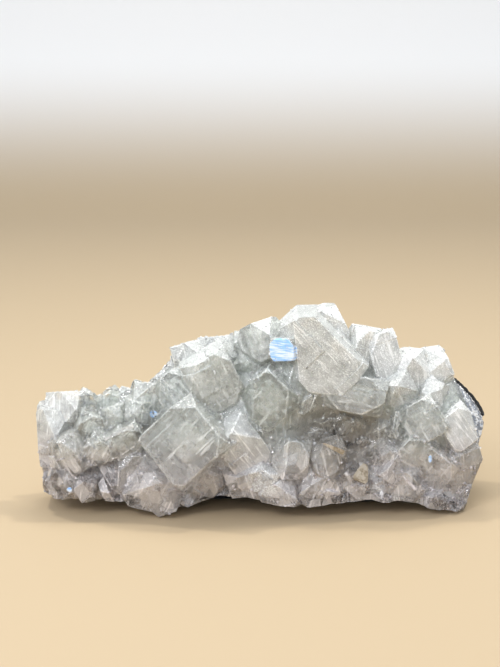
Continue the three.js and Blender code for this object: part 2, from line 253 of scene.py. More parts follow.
def random_stream(seed):
    """The stream of numbers that the CAD model draws from, so the same crystals come out."""
    state = int(seed) & 0xFFFFFFFF
    while True:
        state = (state + 0x6D2B79F5) & 0xFFFFFFFF
        t = ((state ^ (state >> 15)) * (1 | state)) & 0xFFFFFFFF
        t = ((t + ((t ^ (t >> 7)) * (61 | t))) & 0xFFFFFFFF) ^ t
        yield (t ^ (t >> 14)) / 4294967296


crystals = []  # every block that is joined into the crust: its mesh and its pose


CORNERS = [(i, j, k) for i in (-1, 1) for j in (-1, 1) for k in (-1, 1)]


def cut_corner(block, size, signs, depth):
    """Cuts one corner of an upright block along its pyramid face."""
    side = math.sin(PYRAMID) * math.sqrt(0.5)
    normal = Vector((signs[0] * side, signs[1] * side, signs[2] * math.cos(PYRAMID)))
    corner = Vector([s * extent / 2 for s, extent in zip(signs, size)]) - normal * depth
    everything = block.verts[:] + block.edges[:] + block.faces[:]
    cut = bmesh.ops.bisect_plane(block, geom=everything, plane_co=corner, plane_no=normal, clear_outer=True)
    rim = [e for e in cut["geom_cut"] if isinstance(e, bmesh.types.BMEdge)]
    if rim:
        bmesh.ops.edgeloop_fill(block, edges=rim)


def upright_block(size, cuts, box=None, offset=(0, 0, 0), proud=0.0):
    """A crystal in its own axes with its corners cut, or only what of it lies in a smaller box."""
    block = bmesh.new()
    bmesh.ops.create_cube(block, size=1)
    bmesh.ops.scale(block, verts=block.verts, vec=box or size)
    bmesh.ops.translate(block, verts=block.verts, vec=offset)
    for signs, depth in zip(CORNERS, cuts):
        if depth > proud:
            cut_corner(block, size, signs, depth - proud)
    return block


def grow_block(size, cuts, turn, middle, bevel, box=None, offset=(0, 0, 0), proud=0.0):
    """A bevelled block in the crust's millimetres, kept in the list of crystals."""
    block = upright_block(size, cuts, box, offset, proud)
    if not block.faces:
        block.free()
        return
    owner = block.faces.layers.int.new("crystal")
    rim = block.faces.layers.int.new("rim")
    bevelled = bmesh.ops.bevel(
        block, geom=block.edges[:], offset=bevel, segments=1, profile=0.5,
        affect="EDGES", clamp_overlap=True,
    )
    number = len(crystals) + 1
    for face in block.faces:
        face[owner] = number
    for face in bevelled["faces"]:
        face[rim] = 1
    block.transform(Matrix.Translation(middle) @ turn.to_4x4())
    mesh = mesh_of(block, f"block_{number}")
    grown_block = {"mesh": mesh, "turn": turn, "middle": middle, "size": size, "cuts": cuts}
    crystals.append(grown_block | {"whole": box is None})


def crystal(at, width, length, cuts, roll, tip, yaw, bevel=0.32):
    """A whole crystal. Its corners are cut as listed, or by two depths made uneven by chance."""
    if len(cuts) == 2:
        cut, trim = cuts
        numbers = random_stream(math.floor(at[0] * 31 + at[1] * 57 + at[2] * 83 + 0.5))
        signs = [(i, k) for i in (-1, 1) for _ in (-1, 1) for k in (-1, 1)]
        cuts = [(cut if i * k > 0 else trim) * (0.75 + 1.05 * next(numbers)) for i, k in signs]
    turn = Matrix.Rotation(math.radians(yaw), 3, "Z") @ Matrix.Rotation(math.radians(tip), 3, "X")
    turn = turn @ Matrix.Rotation(math.radians(roll), 3, "Y")
    grow_block((width, width, length), cuts, turn, Vector(at), bevel)


# %% [markdown]
# ## Where the crystals stand
# Each of the larger crystals has its own place, size and turn. A list is the honest way to hold
# them, because no rule places the crystals of a natural specimen. The values are, in millimetres
# and degrees: middle, width, length, how deep the corners are cut (two depths, or all eight for
# the two crystals that show most), roll, tip and yaw.

# %% The larger crystals
CROWN_CUTS = (4, 8, 2, 2, 2.8, 0.4, 2, 2)
LOZENGE_CUTS = (0.8, 3.4, 1, 1, 1.6, 2.6, 1, 1)
PLACED = {
    "crest": [
        ((18, -12, 54), 19, 28.5, CROWN_CUTS, -44, 5, -2),
        ((7.8, -17.9, 56.4), 8.7, 7.5, (0.6, 0.6), -6, 0, -24),
        ((1, -11, 56.5), 13.5, 13, (3.6, 2.4), -30, -8, -34),
        ((21, -5, 60), 13, 15, (2.6, 1.4), -24, -4, 6),
        ((32.8, -8, 52.3), 9.5, 18, (1.6, 1.6), 12, 2, 22),
        ((40, -8, 51.5), 10, 16, (2, 2), -14, -6, 12),
        ((49, -6, 45), 12, 15, (2.6, 2.6), -6, 6, 20),
        ((58, -3, 45.5), 13, 13.5, (3.2, 3.2), 10, 8, -8),
        ((45, -11, 41), 11, 12, (3, 3), -30, 22, 15),
        ((56.5, -9, 38.5), 10, 11, (2.4, 2.4), 35, 4, 10),
        ((-4.5, -4, 52), 12, 12, (2.4, 2.4), 12, -12, 10),
        ((-13.5, -4, 51), 14, 12, (3.4, 3.4), -6, -14, -6),
        ((-22.5, -5, 49.3), 14, 13, (3.4, 2.6), -14, -10, 4),
    ],
    "middle": [
        ((2.5, -17, 40), 15.5, 15.5, (3.4, 1), 44, 0, -6),
        ((11, -14, 45.5), 10, 12, (1.6, 1.6), -10, -14, 26),
        ((14, -15, 37.5), 8.5, 9.5, (2.4, 2.4), 18, 10, 20),
        ((-4.5, -10, 48.5), 9, 9, (1.6, 1.6), 30, 14, -20),
        ((-16.5, -14, 45.5), 15.5, 18, (1.4, 2.4), -27, 4, 8),
        ((30, -15, 40.5), 12, 21, (2, 2), 101, -8, -4),
        ((53.5, -13.5, 31.5), 12.5, 13.5, (1.6, 1.6), -32, -6, -6),
        ((64.3, -11, 28), 11.5, 13, (1.2, 1.2), -33, -8, 14),
        ((19, -9, 29), 11, 12, (2, 2), 20, 30, -20),
        ((30, -8, 28), 12, 12, (2.4, 2.4), -14, 24, 10),
        ((41, -9, 29), 11, 12, (2.4, 2.4), 24, 20, 24),
        ((6, -12, 26), 10, 11, (2, 2), -24, 20, 6),
        ((13, -11, 24), 10, 10, (2, 2), 14, 32, -12),
    ],
    "left_of_middle": [
        ((-22.3, -19.3, 26), 22, 23, LOZENGE_CUTS, 45, -8, -20),
        ((-27, -11, 40), 13, 14, (2, 2), -40, -12, -10),
        ((-38, -8, 36), 12, 12, (2.2, 2.2), 14, -8, 14),
        ((-7, -19, 23.5), 14, 22, (2.4, 2.4), -36, 12, 20),
        ((-20, -17, 13), 13, 14, (2, 2), 30, 20, -10),
        ((-5, -18, 12.5), 13, 14, (2, 2), -20, 24, 10),
    ],
    "lower_left": [
        ((-35, -17, 10.5), 18, 18, (3.4, 3.4), 26, 24, -12),
        ((-52.5, -19, 8.5), 11.5, 16, (6.2, 6.2), 4, 8, 40),
        ((-43.5, -17, 14.5), 10, 14, (2, 2), 4, 6, 14),
        ((-64, -15, 11.5), 12, 12, (2.6, 2.6), 10, 16, -30),
        ((-58.5, -19, 10), 8.5, 8.5, (1.8, 1.8), 10, 10, -14),
        ((-69.5, -8, 27), 12, 15, (2.4, 2.4), 8, 0, -36),
        ((-71.5, -8, 18.5), 8, 8, (1.2, 1.2), 46, 6, -20),
        ((-63, -16, 21), 12, 13, (2.2, 2.2), -24, 14, -20),
        ((-66, -6, 33.5), 12, 10, (2.2, 2.2), -6, -14, -14),
        ((-59, -5, 34.5), 8, 8.5, (1.8, 1.8), 34, -12, 10),
        ((-51, -5, 34), 10, 9, (1.8, 1.8), -28, -16, 22),
        ((-44, -5, 34), 9, 10, (1.6, 1.6), 12, -20, -14),
        ((-57, -13, 29), 10, 10, (2, 2), 22, 6, 12),
        ((-49, -12, 31), 9, 9, (1.8, 1.8), -16, 0, -22),
        ((-45, -17, 25.5), 10, 13, (1.6, 1.6), 58, 10, 8),
        ((-53, -17, 22.5), 10, 11, (2, 2), 30, 16, -8),
        ((-41, -12, 33), 10, 10, (2, 2), 8, 6, 14),
        ((-38, -16, 18), 8, 9, (1.8, 1.8), -20, 12, 18),
    ],
    "lower_right": [
        ((1, -21, 14.5), 10, 9, (1.8, 1.8), 28, 10, -24),
        ((10, -20, 20), 12, 13, (2.4, 2.4), 6, -6, -8),
        ((21, -19, 19.5), 12, 12, (2.4, 2.4), -12, -8, 14),
        ((6, -20, 9), 12, 11, (2, 2), -16, 16, -8),
        ((18, -19, 10.5), 13, 12, (2, 2), 18, 10, 10),
        ((30, -16, 11), 11, 12, (1.6, 1.6), -30, 16, -12),
        ((42, -14, 17.5), 12, 13, (2.4, 2.4), 22, 8, -22),
        ((50, -14, 21), 12, 13, (1.6, 1.6), -50, 10, 8),
        ((56.5, -11, 15.5), 15, 17, (2.4, 2.4), 38, 12, -16),
        ((65.5, -6.5, 13), 16, 20, (2, 2), -14, 12, 32),
        ((46, -14, 9.5), 14, 13, (2.8, 2.8), -8, 8, -6),
        ((37, -15, 9.5), 11, 10, (2.4, 2.4), 26, 14, 8),
    ],
}
for group, blocks in PLACED.items():
    for block in blocks:
        crystal(*block)
    print(group, "has", len(blocks), "crystals")

# %% [markdown]
# ## Growth steps on the large faces
# A crystal face is seldom one plane. New layers start at one edge and stop short of the other, and
# smaller blocks grow on in exactly the same direction, which leaves steps and notched corners.
# Both are made here as plates and blocks that share their parent's turn and stand a little proud.

# %% Plates, ribs and parallel blocks on the larger crystals
steps = random.Random(29)
LARGE = 9.0  # crystals longer than this carry steps of their own
PLATE = 3.0  # how thick a growth layer's plate is, most of it sunk in its parent


def plate_on(parent, axis, sign, proud, reach):
    """A growth layer on one face. It starts flush with two edges and stops short of the others."""
    size = parent["size"]
    box = [extent * share + 2 * proud for extent, share in zip(size, reach)]
    offset = [steps.choice((-1, 1)) * (extent * (1 - share)) / 2 for extent, share in zip(size, reach)]
    box[axis] = PLATE
    offset[axis] = sign * (size[axis] / 2 + proud - PLATE / 2)
    bevel = min(0.12, proud * 0.5)
    grow_block(size, parent["cuts"], parent["turn"], parent["middle"], bevel, box, offset, proud)


def block_on(parent, signs, share, proud):
    """A smaller block that grew on in the same direction, and stands a little out of two faces."""
    size = parent["size"]
    box = [share * extent * steps.uniform(0.6, 1.4) for extent in size]
    offset = []
    for sign, extent, own in zip(signs, size, box):
        inset = (extent - own) / 2
        offset.append(sign * (inset + proud) if sign else steps.uniform(-0.6, 0.6) * inset)
    turn = parent["turn"] @ Matrix.Rotation(math.radians(steps.uniform(-1.5, 1.5)), 3, "Z")
    grow_block(size, parent["cuts"], turn, parent["middle"], 0.16, box, offset, 0.8 * proud)


for parent in [c for c in crystals if max(c["size"]) >= LARGE]:
    for axis in range(3):
        for sign in (-1, 1):
            for _ in range(steps.choice((0, 0, 1, 1))):
                reach = [steps.uniform(0.25, 0.85) for _ in range(3)]
                plate_on(parent, axis, sign, steps.uniform(0.1, 0.35), reach)
    for _ in range(int(max(parent["size"]) / 9)):
        signs = [steps.choice((-1, 1)) for _ in range(3)]
        signs[steps.choice((0, 1, 2))] = 0
        block_on(parent, signs, steps.uniform(0.25, 0.55), steps.uniform(0.15, 0.6))
print("blocks with growth steps:", len(crystals))

# %% [markdown]
# ## Small crystals in the joints
# Between the large crystals the bed is covered with small ones. Their places follow a golden-angle
# spiral over the rock, as in the CAD model, so a short loop makes them all.

# %% Small crystals over the front and top
SMALL_COUNT = 430
numbers = random_stream(11)
golden_angle = math.pi * (3 - math.sqrt(5))
for i in range(SMALL_COUNT):
    up = 1 - 2 * (i + 0.5) / SMALL_COUNT
    round_about = math.sqrt(1 - up * up)
    angle = i * golden_angle
    direction = np.array([round_about * math.sin(angle), round_about * math.cos(angle), up])
    size, slim, blunt, turned = (next(numbers) for _ in range(4))
    if direction[1] > 0.1:  # none on the back, which is broken
        continue
    sunk = 4.4 if direction[2] > 0.5 else 1.4  # deeper in on top, between the large crystals
    at = host_points(direction[None], RIND + BED - sunk, bed_thinning)[0]
    width = 4.5 * (1 + 0.9 * size**2)
    cut = width * (0.08 + 0.16 * blunt)
    length = width * (1 + 0.35 * slim)
    roll, tip, yaw = 90 * slim - 45, 60 * blunt - 20, 90 * turned - 45
    crystal(tuple(float(v) for v in at), width, length, (cut, cut), roll, tip, yaw, 0.2)
print("blocks in all:", len(crystals))

# %% [markdown]
# ## Joining and breaking
# The crystals grew into each other, so they become one solid by a boolean union. Then the breaks
# are cut: the broken underside with its two feet, the broken ends, and the back. The Manifold
# solver is used because it stays exact and fast with hundreds of blocks.

# %% Booleans on plain meshes


def combined(name, base, operands, operation):
    """The base mesh joined with, or cut by, all the operand meshes."""
    group = bpy.data.collections.new("operands")
    scene.collection.children.link(group)
    helpers = [bpy.data.objects.new("operand", mesh) for mesh in operands]
    for helper in helpers:
        group.objects.link(helper)
    body = bpy.data.objects.new(name, base)
    scene.collection.objects.link(body)
    modifier = body.modifiers.new("join", "BOOLEAN")
    modifier.operation = operation
    modifier.solver = "MANIFOLD"
    modifier.operand_type = "COLLECTION"
    modifier.collection = group
    result = applied(body, *helpers)
    bpy.data.collections.remove(group)
    result.name = name
    return result


def closed_block(sheet, level, name, placed=Matrix()):
    """An open sheet as a closed block: a wall goes from its rim to this level and is capped."""
    wall = bmesh.ops.extrude_edge_only(sheet, edges=[e for e in sheet.edges if e.is_boundary])
    for item in wall["geom"]:
        if isinstance(item, bmesh.types.BMVert):
            item.co.z = level
    bmesh.ops.holes_fill(sheet, edges=[e for e in sheet.edges if e.is_boundary])
    bmesh.ops.triangulate(sheet, faces=sheet.faces[:])
    bmesh.ops.recalc_face_normals(sheet, faces=sheet.faces[:])
    sheet.transform(placed)
    return mesh_of(sheet, name)


CUT_HALF = 130.0  # half the width of a cutting block, which is wider than the specimen
CUT_DEPTH = 120.0
CUT_CELL = 3.0  # size of the net that makes a break uneven


def beyond(point, normal, rough=0.0, seed=0):
    """All that lies beyond a plane, as a wide block whose near face is a little uneven."""
    count = int(2 * CUT_HALF / CUT_CELL) if rough else 1
    sheet = bmesh.new()
    bmesh.ops.create_grid(sheet, x_segments=count, y_segments=count, size=CUT_HALF)
    if rough:
        for vertex in sheet.verts:
            place = Vector((vertex.co.x, vertex.co.y, seed * 50.0))
            coarse = noise.fractal(place * 0.05, 1.0, 2.0, 3)
            fine = noise.noise(place * 0.33)
            vertex.co.z = rough * (1.6 * coarse + 0.5 * fine)
    facing = Vector(normal).normalized().to_track_quat("Z", "Y").to_matrix().to_4x4()
    return closed_block(sheet, CUT_DEPTH, "beyond", Matrix.Translation(point) @ facing)


UNDERSIDE = [
    (-90, 5.5), (-60, 4.8), (-50, 5), (-45, 4.4), (-40, 2.8), (-35.5, 2), (-34, 0), (-32, 0),
    (-30.5, 2.4), (-23, 4), (-16, 6.8), (-5, 7), (0, 5.6), (8, 4.8), (18, 4.6), (27, 5.4),
    (36, 5.8), (49, 4.6), (58, 2.4), (66, 1), (90, 1),
]


def under_the_arch():
    """What was broken away from below: an arch between two feet, uneven from front to back."""
    sheet = bmesh.new()
    xs = np.linspace(-90, 90, 121)
    ys = np.linspace(-60, 60, 61)
    ceiling = np.interp(xs, [x for x, _ in UNDERSIDE], [z for _, z in UNDERSIDE])
    rows = []
    for y in ys:
        row = []
        for x, z in zip(xs, ceiling):
            coarse = 0.9 * noise.noise(Vector((x * 0.12, y * 0.12, 3.0)))
            uneven = coarse + 0.5 * noise.noise(Vector((x, y, 9.0)) * 0.4)
            row.append(sheet.verts.new((x, y, z + uneven * min(1.0, z / 3))))
        rows.append(row)
    for near, far in zip(rows, rows[1:]):
        for i in range(len(xs) - 1):
            sheet.faces.new((near[i], near[i + 1], far[i + 1], far[i]))
    return closed_block(sheet, -30.0, "under_the_arch")


# %% The crust as one solid
bed = host_mesh("bed", RIND + BED, bed_thinning)
grown = combined("grown", bed, [c["mesh"] for c in crystals], "UNION")
FLAT_BASE = ((0, 0, 0), (0, 0, -1))
RIGHT_END = ((76.8, 0, 26), (1, 0, -0.36))
BREAKS = [  # point, direction out, roughness
    (*FLAT_BASE, 0.0),
    ((0, 13, 30), (0.1, 1, 0.1), 0.7),
    ((-52, 11, 20), (-0.3, 1, -0.2), 0.7),
    ((15, 11, 56), (-0.1, 0.8, 0.6), 0.7),
    ((-74.8, 0, 26), (-1, 0, -0.06), 0.3),
    ((66.2, 0, 36), (1, 0.1, 0.35), 0.5),
    (*RIGHT_END, 0.0),
    ((15, -20, 67.4), (-0.03, -0.04, 1), 0.0),
]
cutters = [host_mesh("inside", RIND + GAP), under_the_arch()]
cutters += [beyond(point, normal, rough, seed=i) for i, (point, normal, rough) in enumerate(BREAKS)]
crust_mesh = combined("apophyllite_crystals", grown, cutters, "DIFFERENCE")
print("crust:", len(crust_mesh.vertices), "points,", len(crust_mesh.polygons), "faces")

# %% [markdown]
# ## What each face remembers
# A growth line runs along its own crystal, so every corner of the mesh gets its place in that
# crystal's axes, in millimetres. Every face also gets what kind it is: flat end, bevelled rim or
# break. The material reads these as attributes, because no single direction fits all crystals.

# %% Attributes for the material


def table_of(items, name, width, kind=np.float64):
    """One property of all vertices, faces or corners as a numpy table."""
    values = np.zeros(len(items) * width, kind)
    items.foreach_get(name, values)
    return values.reshape(-1, width) if width > 1 else values


def without_crumbs(mesh):
    """Keeps the largest connected body: cuts can leave crumbs."""
    body = bmesh.new()
    body.from_mesh(mesh)
    seen, largest = set(), []
    for start in body.faces:
        if start.index in seen:
            continue
        island, queue = [], [start]
        seen.add(start.index)
        while queue:
            face = queue.pop()
            island.append(face)
            for edge in face.edges:
                for other in edge.link_faces:
                    if other.index not in seen:
                        seen.add(other.index)
                        queue.append(other)
        if len(island) > len(largest):
            largest = island
    kept = set(face.index for face in largest)
    bmesh.ops.delete(body, geom=[f for f in body.faces if f.index not in kept], context="FACES")
    body.to_mesh(mesh)
    body.free()


MILKINESS = [  # the crystals that are clearly milkier than their neighbours, by their middles
    ((18, -12, 54), 0.85), ((21, -5, 60), 0.95), ((1, -11, 56.5), 0.5), ((32.8, -8, 52.3), 0.95),
    ((40, -8, 51.5), 1.0), ((49, -6, 45), 1.0), ((58, -3, 45.5), 1.0), ((45, -11, 41), 0.8),
    ((56.5, -9, 38.5), 0.85), ((64.3, -11, 28), 1.0), ((-69.5, -8, 27), 0.8), ((-71.5, -8, 18.5), 0.75),
    ((-7, -19, 23.5), 0.9), ((-22.5, -5, 49.3), 0.8), ((-13.5, -4, 51), 0.8), ((2.5, -17, 40), 0.15),
    ((-22.3, -19.3, 26), 0.4), ((-16.5, -14, 45.5), 0.55), ((-66, -6, 33.5), 0.9),
    ((30, -15, 40.5), 0.5), ((53.5, -13.5, 31.5), 0.5), ((10, -20, 20), 0.35), ((21, -19, 19.5), 0.45),
    ((-5, -18, 12.5), 0.6), ((6, -20, 9), 0.6), ((18, -19, 10.5), 0.5), ((-52.5, -19, 8.5), 0.8),
]
SAME = 0.6  # a crystal whose middle is nearer than this is the one meant
# the crystals low down that are unbroken, by their middles
SOUND = [(-22.3, -19.3, 26), (53.5, -13.5, 31.5), (64.3, -11, 28), (2.5, -17, 40)]


def remember(mesh):
    """Writes grain, kind, tone and soundness for every face, from the crystal it belongs to."""
    owner = table_of(mesh.attributes["crystal"].data, "value", 1, np.int32)
    rim = table_of(mesh.attributes["rim"].data, "value", 1, np.int32)
    normals = table_of(mesh.polygons, "normal", 3)
    corner_point = table_of(mesh.loops, "vertex_index", 1, np.int32)
    sides = table_of(mesh.polygons, "loop_total", 1, np.int32)
    whose = owner[np.repeat(np.arange(len(owner)), sides)]
    turns = np.array([np.eye(3)] + [np.array(c["turn"]) for c in crystals])
    middles = np.array([np.zeros(3)] + [np.array(c["middle"]) for c in crystals])
    scatter = np.random.default_rng(5)
    shifts = scatter.uniform(-400, 400, (len(turns), 3))
    tones = scatter.uniform(0.1, 0.6, len(turns))
    unbroken = np.zeros(len(turns))
    for near in SOUND:
        unbroken[np.linalg.norm(middles - near, axis=1) < SAME] = 1.0
    for near, milky in MILKINESS:
        tones[np.linalg.norm(middles - near, axis=1) < SAME] = milky
    apart = table_of(mesh.vertices, "co", 3)[corner_point] - middles[whose]
    local = np.einsum("nji,nj->ni", turns[whose], apart) + shifts[whose]
    upright = np.abs(np.einsum("nji,nj->ni", turns[owner], normals)[:, 2])
    kind = np.stack([(upright > 0.97) & (owner > 0), rim > 0, owner == 0], 1)
    for name, domain, values in (
        ("grain", "CORNER", local), ("kind", "FACE", kind),
        ("tone", "FACE", tones[owner]), ("sound", "FACE", unbroken[owner]),
    ):
        form, field = ("FLOAT_VECTOR", "vector") if values.ndim == 2 else ("FLOAT", "value")
        mesh.attributes.new(name, form, domain).data.foreach_set(field, values.astype(np.float32).ravel())
    mesh.polygons.foreach_set("use_smooth", np.zeros(len(owner), bool))


def to_frame(mesh):
    """From the specimen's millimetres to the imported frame's metres."""
    mesh.transform(Matrix.Scale(MM, 4) @ Matrix.Translation(-Vector(MIDDLE_OF_SPECIMEN)))


def piece(name, mesh, finish, slot, *replaced):
    """A piece of the specimen: it rides with the CAD body and may stand for one of its nodes."""
    body = bpy.data.objects.new(name, mesh)
    mesh.name = name
    scene.collection.objects.link(body)
    mesh.materials.clear()
    mesh.materials.append(finish)
    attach(body, "root")
    if replaced:
        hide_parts(*replaced)


without_crumbs(crust_mesh)
remember(crust_mesh)
print("crust kept:", len(crust_mesh.polygons), "faces")

# %% [markdown]
# ## Where the small grains sit
# The weathered top is gritty with crystals of about half a millimetre, and crumbs of them fill the
# joints between the blocks. Their places are drawn here by chance, with fixed seeds: on faces by
# their area, and along edges where two faces meet in a valley. Geometry Nodes sets a crystal on
# each place later.

# %% Points on faces and along joints


def points_on_faces(mesh, wanted, count, seed):
    """Points spread over a mesh's faces: wanted gives each face's share for its area."""
    chance = np.random.default_rng(seed)
    mesh.calc_loop_triangles()
    corners = table_of(mesh.loop_triangles, "vertices", 3, np.int32)
    owner = table_of(mesh.loop_triangles, "polygon_index", 1, np.int32)
    area = table_of(mesh.loop_triangles, "area", 1)
    weight = area * wanted[owner]
    chosen = chance.choice(len(weight), count, p=weight / weight.sum())
    a, b = np.sqrt(chance.random(count)), chance.random(count)
    shares = np.stack([1 - a, a * (1 - b), a * b], 1)
    places = table_of(mesh.vertices, "co", 3)[corners[chosen]]
    return (places * shares[:, :, None]).sum(1), owner[chosen]


def points_in_joints(mesh, count, seed):
    """Points along the edges where two faces meet in a valley."""
    chance = np.random.default_rng(seed)
    edge = table_of(mesh.loops, "edge_index", 1, np.int32)
    sides = table_of(mesh.polygons, "loop_total", 1, np.int32)
    face = np.repeat(np.arange(len(sides)), sides)
    order = np.argsort(edge, kind="stable")
    pair = face[order].reshape(-1, 2)
    ends = table_of(mesh.edges, "vertices", 2, np.int32)[edge[order][::2]]
    middle, normal = table_of(mesh.polygons, "center", 3), table_of(mesh.polygons, "normal", 3)
    rises = ((middle[pair[:, 1]] - middle[pair[:, 0]]) * normal[pair[:, 0]]).sum(1) > 0
    folded = (normal[pair[:, 0]] * normal[pair[:, 1]]).sum(1) < 0.85
    kept = ends[rises & folded]
    points = table_of(mesh.vertices, "co", 3)
    length = np.linalg.norm(points[kept[:, 0]] - points[kept[:, 1]], axis=1)
    chosen = kept[chance.choice(len(kept), count, p=length / length.sum())]
    share = chance.random((count, 1))
    return points[chosen[:, 0]] * share + points[chosen[:, 1]] * (1 - share)


face_middle = table_of(crust_mesh.polygons, "center", 3)
face_normal = table_of(crust_mesh.polygons, "normal", 3)
owners = table_of(crust_mesh.attributes["crystal"].data, "value", 1, np.int32)
is_grown = owners > 0
ALL = 1e-9  # the least share a face gets
on_top = smooth(face_normal[:, 2], 0.2, 0.8) * smooth(face_middle[:, 2], 14, 45) * is_grown
top_points, _ = points_on_faces(crust_mesh, on_top + ALL, count=700, seed=3)
joint_points = points_in_joints(crust_mesh, count=1500, seed=4)
FRONT = -2.0  # the joints behind this are hidden by the crest or belong to the broken back
joint_points = joint_points[(joint_points[:, 1] < FRONT) & (joint_points[:, 2] > 2)]
print("places on top:", len(top_points), "and in the joints:", len(joint_points))

# %% [markdown]
# ## Cracks inside the blocks
# Apophyllite splits straight across its length, as mica does. Short cracks lie square to the
# length inside the blocks and throw light back like foil. They are thin ragged leaves, drawn in
# each crystal's own axes and kept only where they lie wholly under the skin. The small crystals
# and the broken base are shattered every way, so there Geometry Nodes sets small leaves.

# %% Leaves square to the length
crack_chance = random.Random(17)
skin = BVHTree.FromPolygons(
    [v.co.copy() for v in crust_mesh.vertices], [tuple(p.vertices) for p in crust_mesh.polygons]
)
LEAF = 0.08  # thickness of a leaf
THICK = 5.5  # narrower crystals have no leaves and no cloudy heart of their own
NUDGE = 0.001  # moves a ray's start off the face that it has just met


def well_inside(point, margin):
    """Whether a point is deeper under the skin than a margin: a ray out crosses it an odd number of times."""
    if skin.find_nearest(point)[3] < margin:
        return False
    ray, crossings, start = Vector((0.31, 0.23, 0.92)).normalized(), 0, point
    while True:
        hit = skin.ray_cast(start, ray)[0]
        if hit is None:
            return crossings % 2 == 1
        crossings += 1
        start = hit + ray * NUDGE


def ragged_leaf(mesh, place, reach, narrow):
    """A thin, slightly dished leaf with a ragged outline, closed all round."""
    count = crack_chance.randint(7, 11)
    rings = [[Vector((0, 0, side * LEAF / 2)) for _ in range(count)] for side in (-1, 1)]
    for k in range(count):
        angle = 2 * math.pi * (k + crack_chance.uniform(-0.3, 0.3)) / count
        radius = reach * crack_chance.uniform(0.5, 1.1)
        for ring in rings:
            ring[k] += Vector((radius * math.cos(angle), narrow * radius * math.sin(angle), 0))
    dish = 0.06 * reach
    hubs = [Vector((0, 0, dish + side * LEAF / 2)) for side in (-1, 1)]
    spots = [place @ point for ring in rings for point in ring]
    if not all(well_inside(spot, 0.3) for spot in spots):
        return False
    under, over = ([mesh.verts.new(place @ point) for point in ring] for ring in rings)
    hub_under, hub_over = (mesh.verts.new(place @ hub) for hub in hubs)
    for k in range(count):
        after = (k + 1) % count
        mesh.faces.new((over[k], over[after], hub_over))
        mesh.faces.new((under[after], under[k], hub_under))
        mesh.faces.new((under[k], under[after], over[after], over[k]))
    return True


leaves = bmesh.new()
kept_leaves = 0
for grown_block in crystals:
    size = grown_block["size"]
    if min(size) < THICK or not grown_block["whole"]:
        continue
    axes = Matrix.Translation(grown_block["middle"]) @ grown_block["turn"].to_4x4()
    for _ in range(int(size[2] * 1.1)):
        spot = Matrix.Translation([crack_chance.uniform(-0.47, 0.47) * extent for extent in size])
        slope = crack_chance.choice((0, 0, 0, 1)) * crack_chance.uniform(0.5, 1.5)
        lean = Matrix.Rotation(slope, 4, "XYZ"[crack_chance.randint(0, 1)])
        reach = crack_chance.uniform(0.06, 0.24) * size[0]
        kept_leaves += ragged_leaf(leaves, axes @ spot @ lean, reach, crack_chance.uniform(0.3, 1.0))
leaf_mesh = mesh_of(leaves, "cleavage_leaves")
to_frame(leaf_mesh)
print("leaves in the large crystals:", kept_leaves)

# %% Places for leaves in the small crystals and the broken base
sizes = np.array([20.0] + [min(c["size"]) for c in crystals])  # the bed counts as one large crystal
forward = smooth(-face_normal[:, 1], -0.2, 0.3)
shattered = np.where(sizes[owners] < LARGE, 1.0, 0.12) * forward * (face_middle[:, 2] > 1)
chip_points, chip_faces = points_on_faces(crust_mesh, shattered + ALL, count=2600, seed=8)
chip_depth = np.random.default_rng(9).uniform(0.5, 2.2, (len(chip_points), 1))
chip_points = chip_points - face_normal[chip_faces] * chip_depth
chip_points = np.array([point for point in chip_points if well_inside(Vector(point), 0.4)])
print("leaves in the small crystals:", len(chip_points))

# %% Places for grains on the broken back
ungrown = (owners == 0) & (face_middle[:, 1] > 0) & (face_middle[:, 2] > 4)
turned_back = (face_normal[:, 1] > -0.3) & (face_normal[:, 2] > -0.4)
hidden = np.einsum("ij,ij->i", face_middle - HOST_CENTRE, face_normal) < 0  # the side that faces the rind
bare_break = (ungrown & turned_back & ~hidden).astype(float)
break_points, _ = points_on_faces(crust_mesh, bare_break, count=2800, seed=12)
to_frame(crust_mesh)
print("grains on the back:", len(break_points))

# %% [markdown]
# ## The skin of the crystals
# Apophyllite is colourless to faintly green and clear as ice where it is sound. Fine growth layers
# and tiny cleavage cracks make it milky, so one crystal is part clear, part cloudy. Prism faces are
# striated along the crystal, flat ends are pearly, worn edges and the weathered top are frosted
# white. One glass-like shader holds all of this: its clearness, tint, polish and relief follow
# patterns in real millimetres. Low down the crystals are splintered, which the relief shows too.

# %% What every material starts with
TO_MM = 1000.0  # patterns are in millimetres


def new_material(name):
    """A new material, its tree and shader, and each point's place in millimetres."""
    material = bpy.data.materials.new(name)
    material.use_nodes = True
    tree = material.node_tree
    at = add(tree, "TexCoord")["Object"]
    place = add(tree, "VectorMath", {0: at, "Scale": TO_MM}, operation="SCALE")[0]
    return material, tree, tree.nodes["Principled BSDF"], place


# %% Apophyllite: coordinates and patterns
apophyllite, tree, shader, place = new_material("milky_apophyllite")
height = add(tree, "SeparateXYZ", {0: place})[2]
grain = add(tree, "Attribute", attribute_name="grain")["Vector"]
kind = add(tree, "Attribute", attribute_name="kind")["Vector"]
flat_end, worn_rim, broken = add(tree, "SeparateXYZ", {0: kind})
tone = add(tree, "Attribute", attribute_name="tone")["Fac"]
sound = add(tree, "Attribute", attribute_name="sound")["Fac"]
upward = add(tree, "SeparateXYZ", {0: add(tree, "NewGeometry")["True Normal"]})[2]

# noise repeats on a lattice, which would show on faces that lie along it, so the place is turned
skewed = add(tree, "Mapping", {"Vector": place, "Rotation": (0.5, 0.9, 1.3)})[0]
# mottling about 11 mm across, grit of a third of a millimetre, frost patches of 6 mm
mottle, grit, patch = (
    add(tree, "TexNoise", {"Vector": skewed, "Scale": 1 / size, "Detail": detail, "Roughness": rough})["Fac"]
    for size, detail, rough in ((11, 3.0, 0.5), (0.35, 2.0, 0.6), (6, 5.0, 0.62))
)
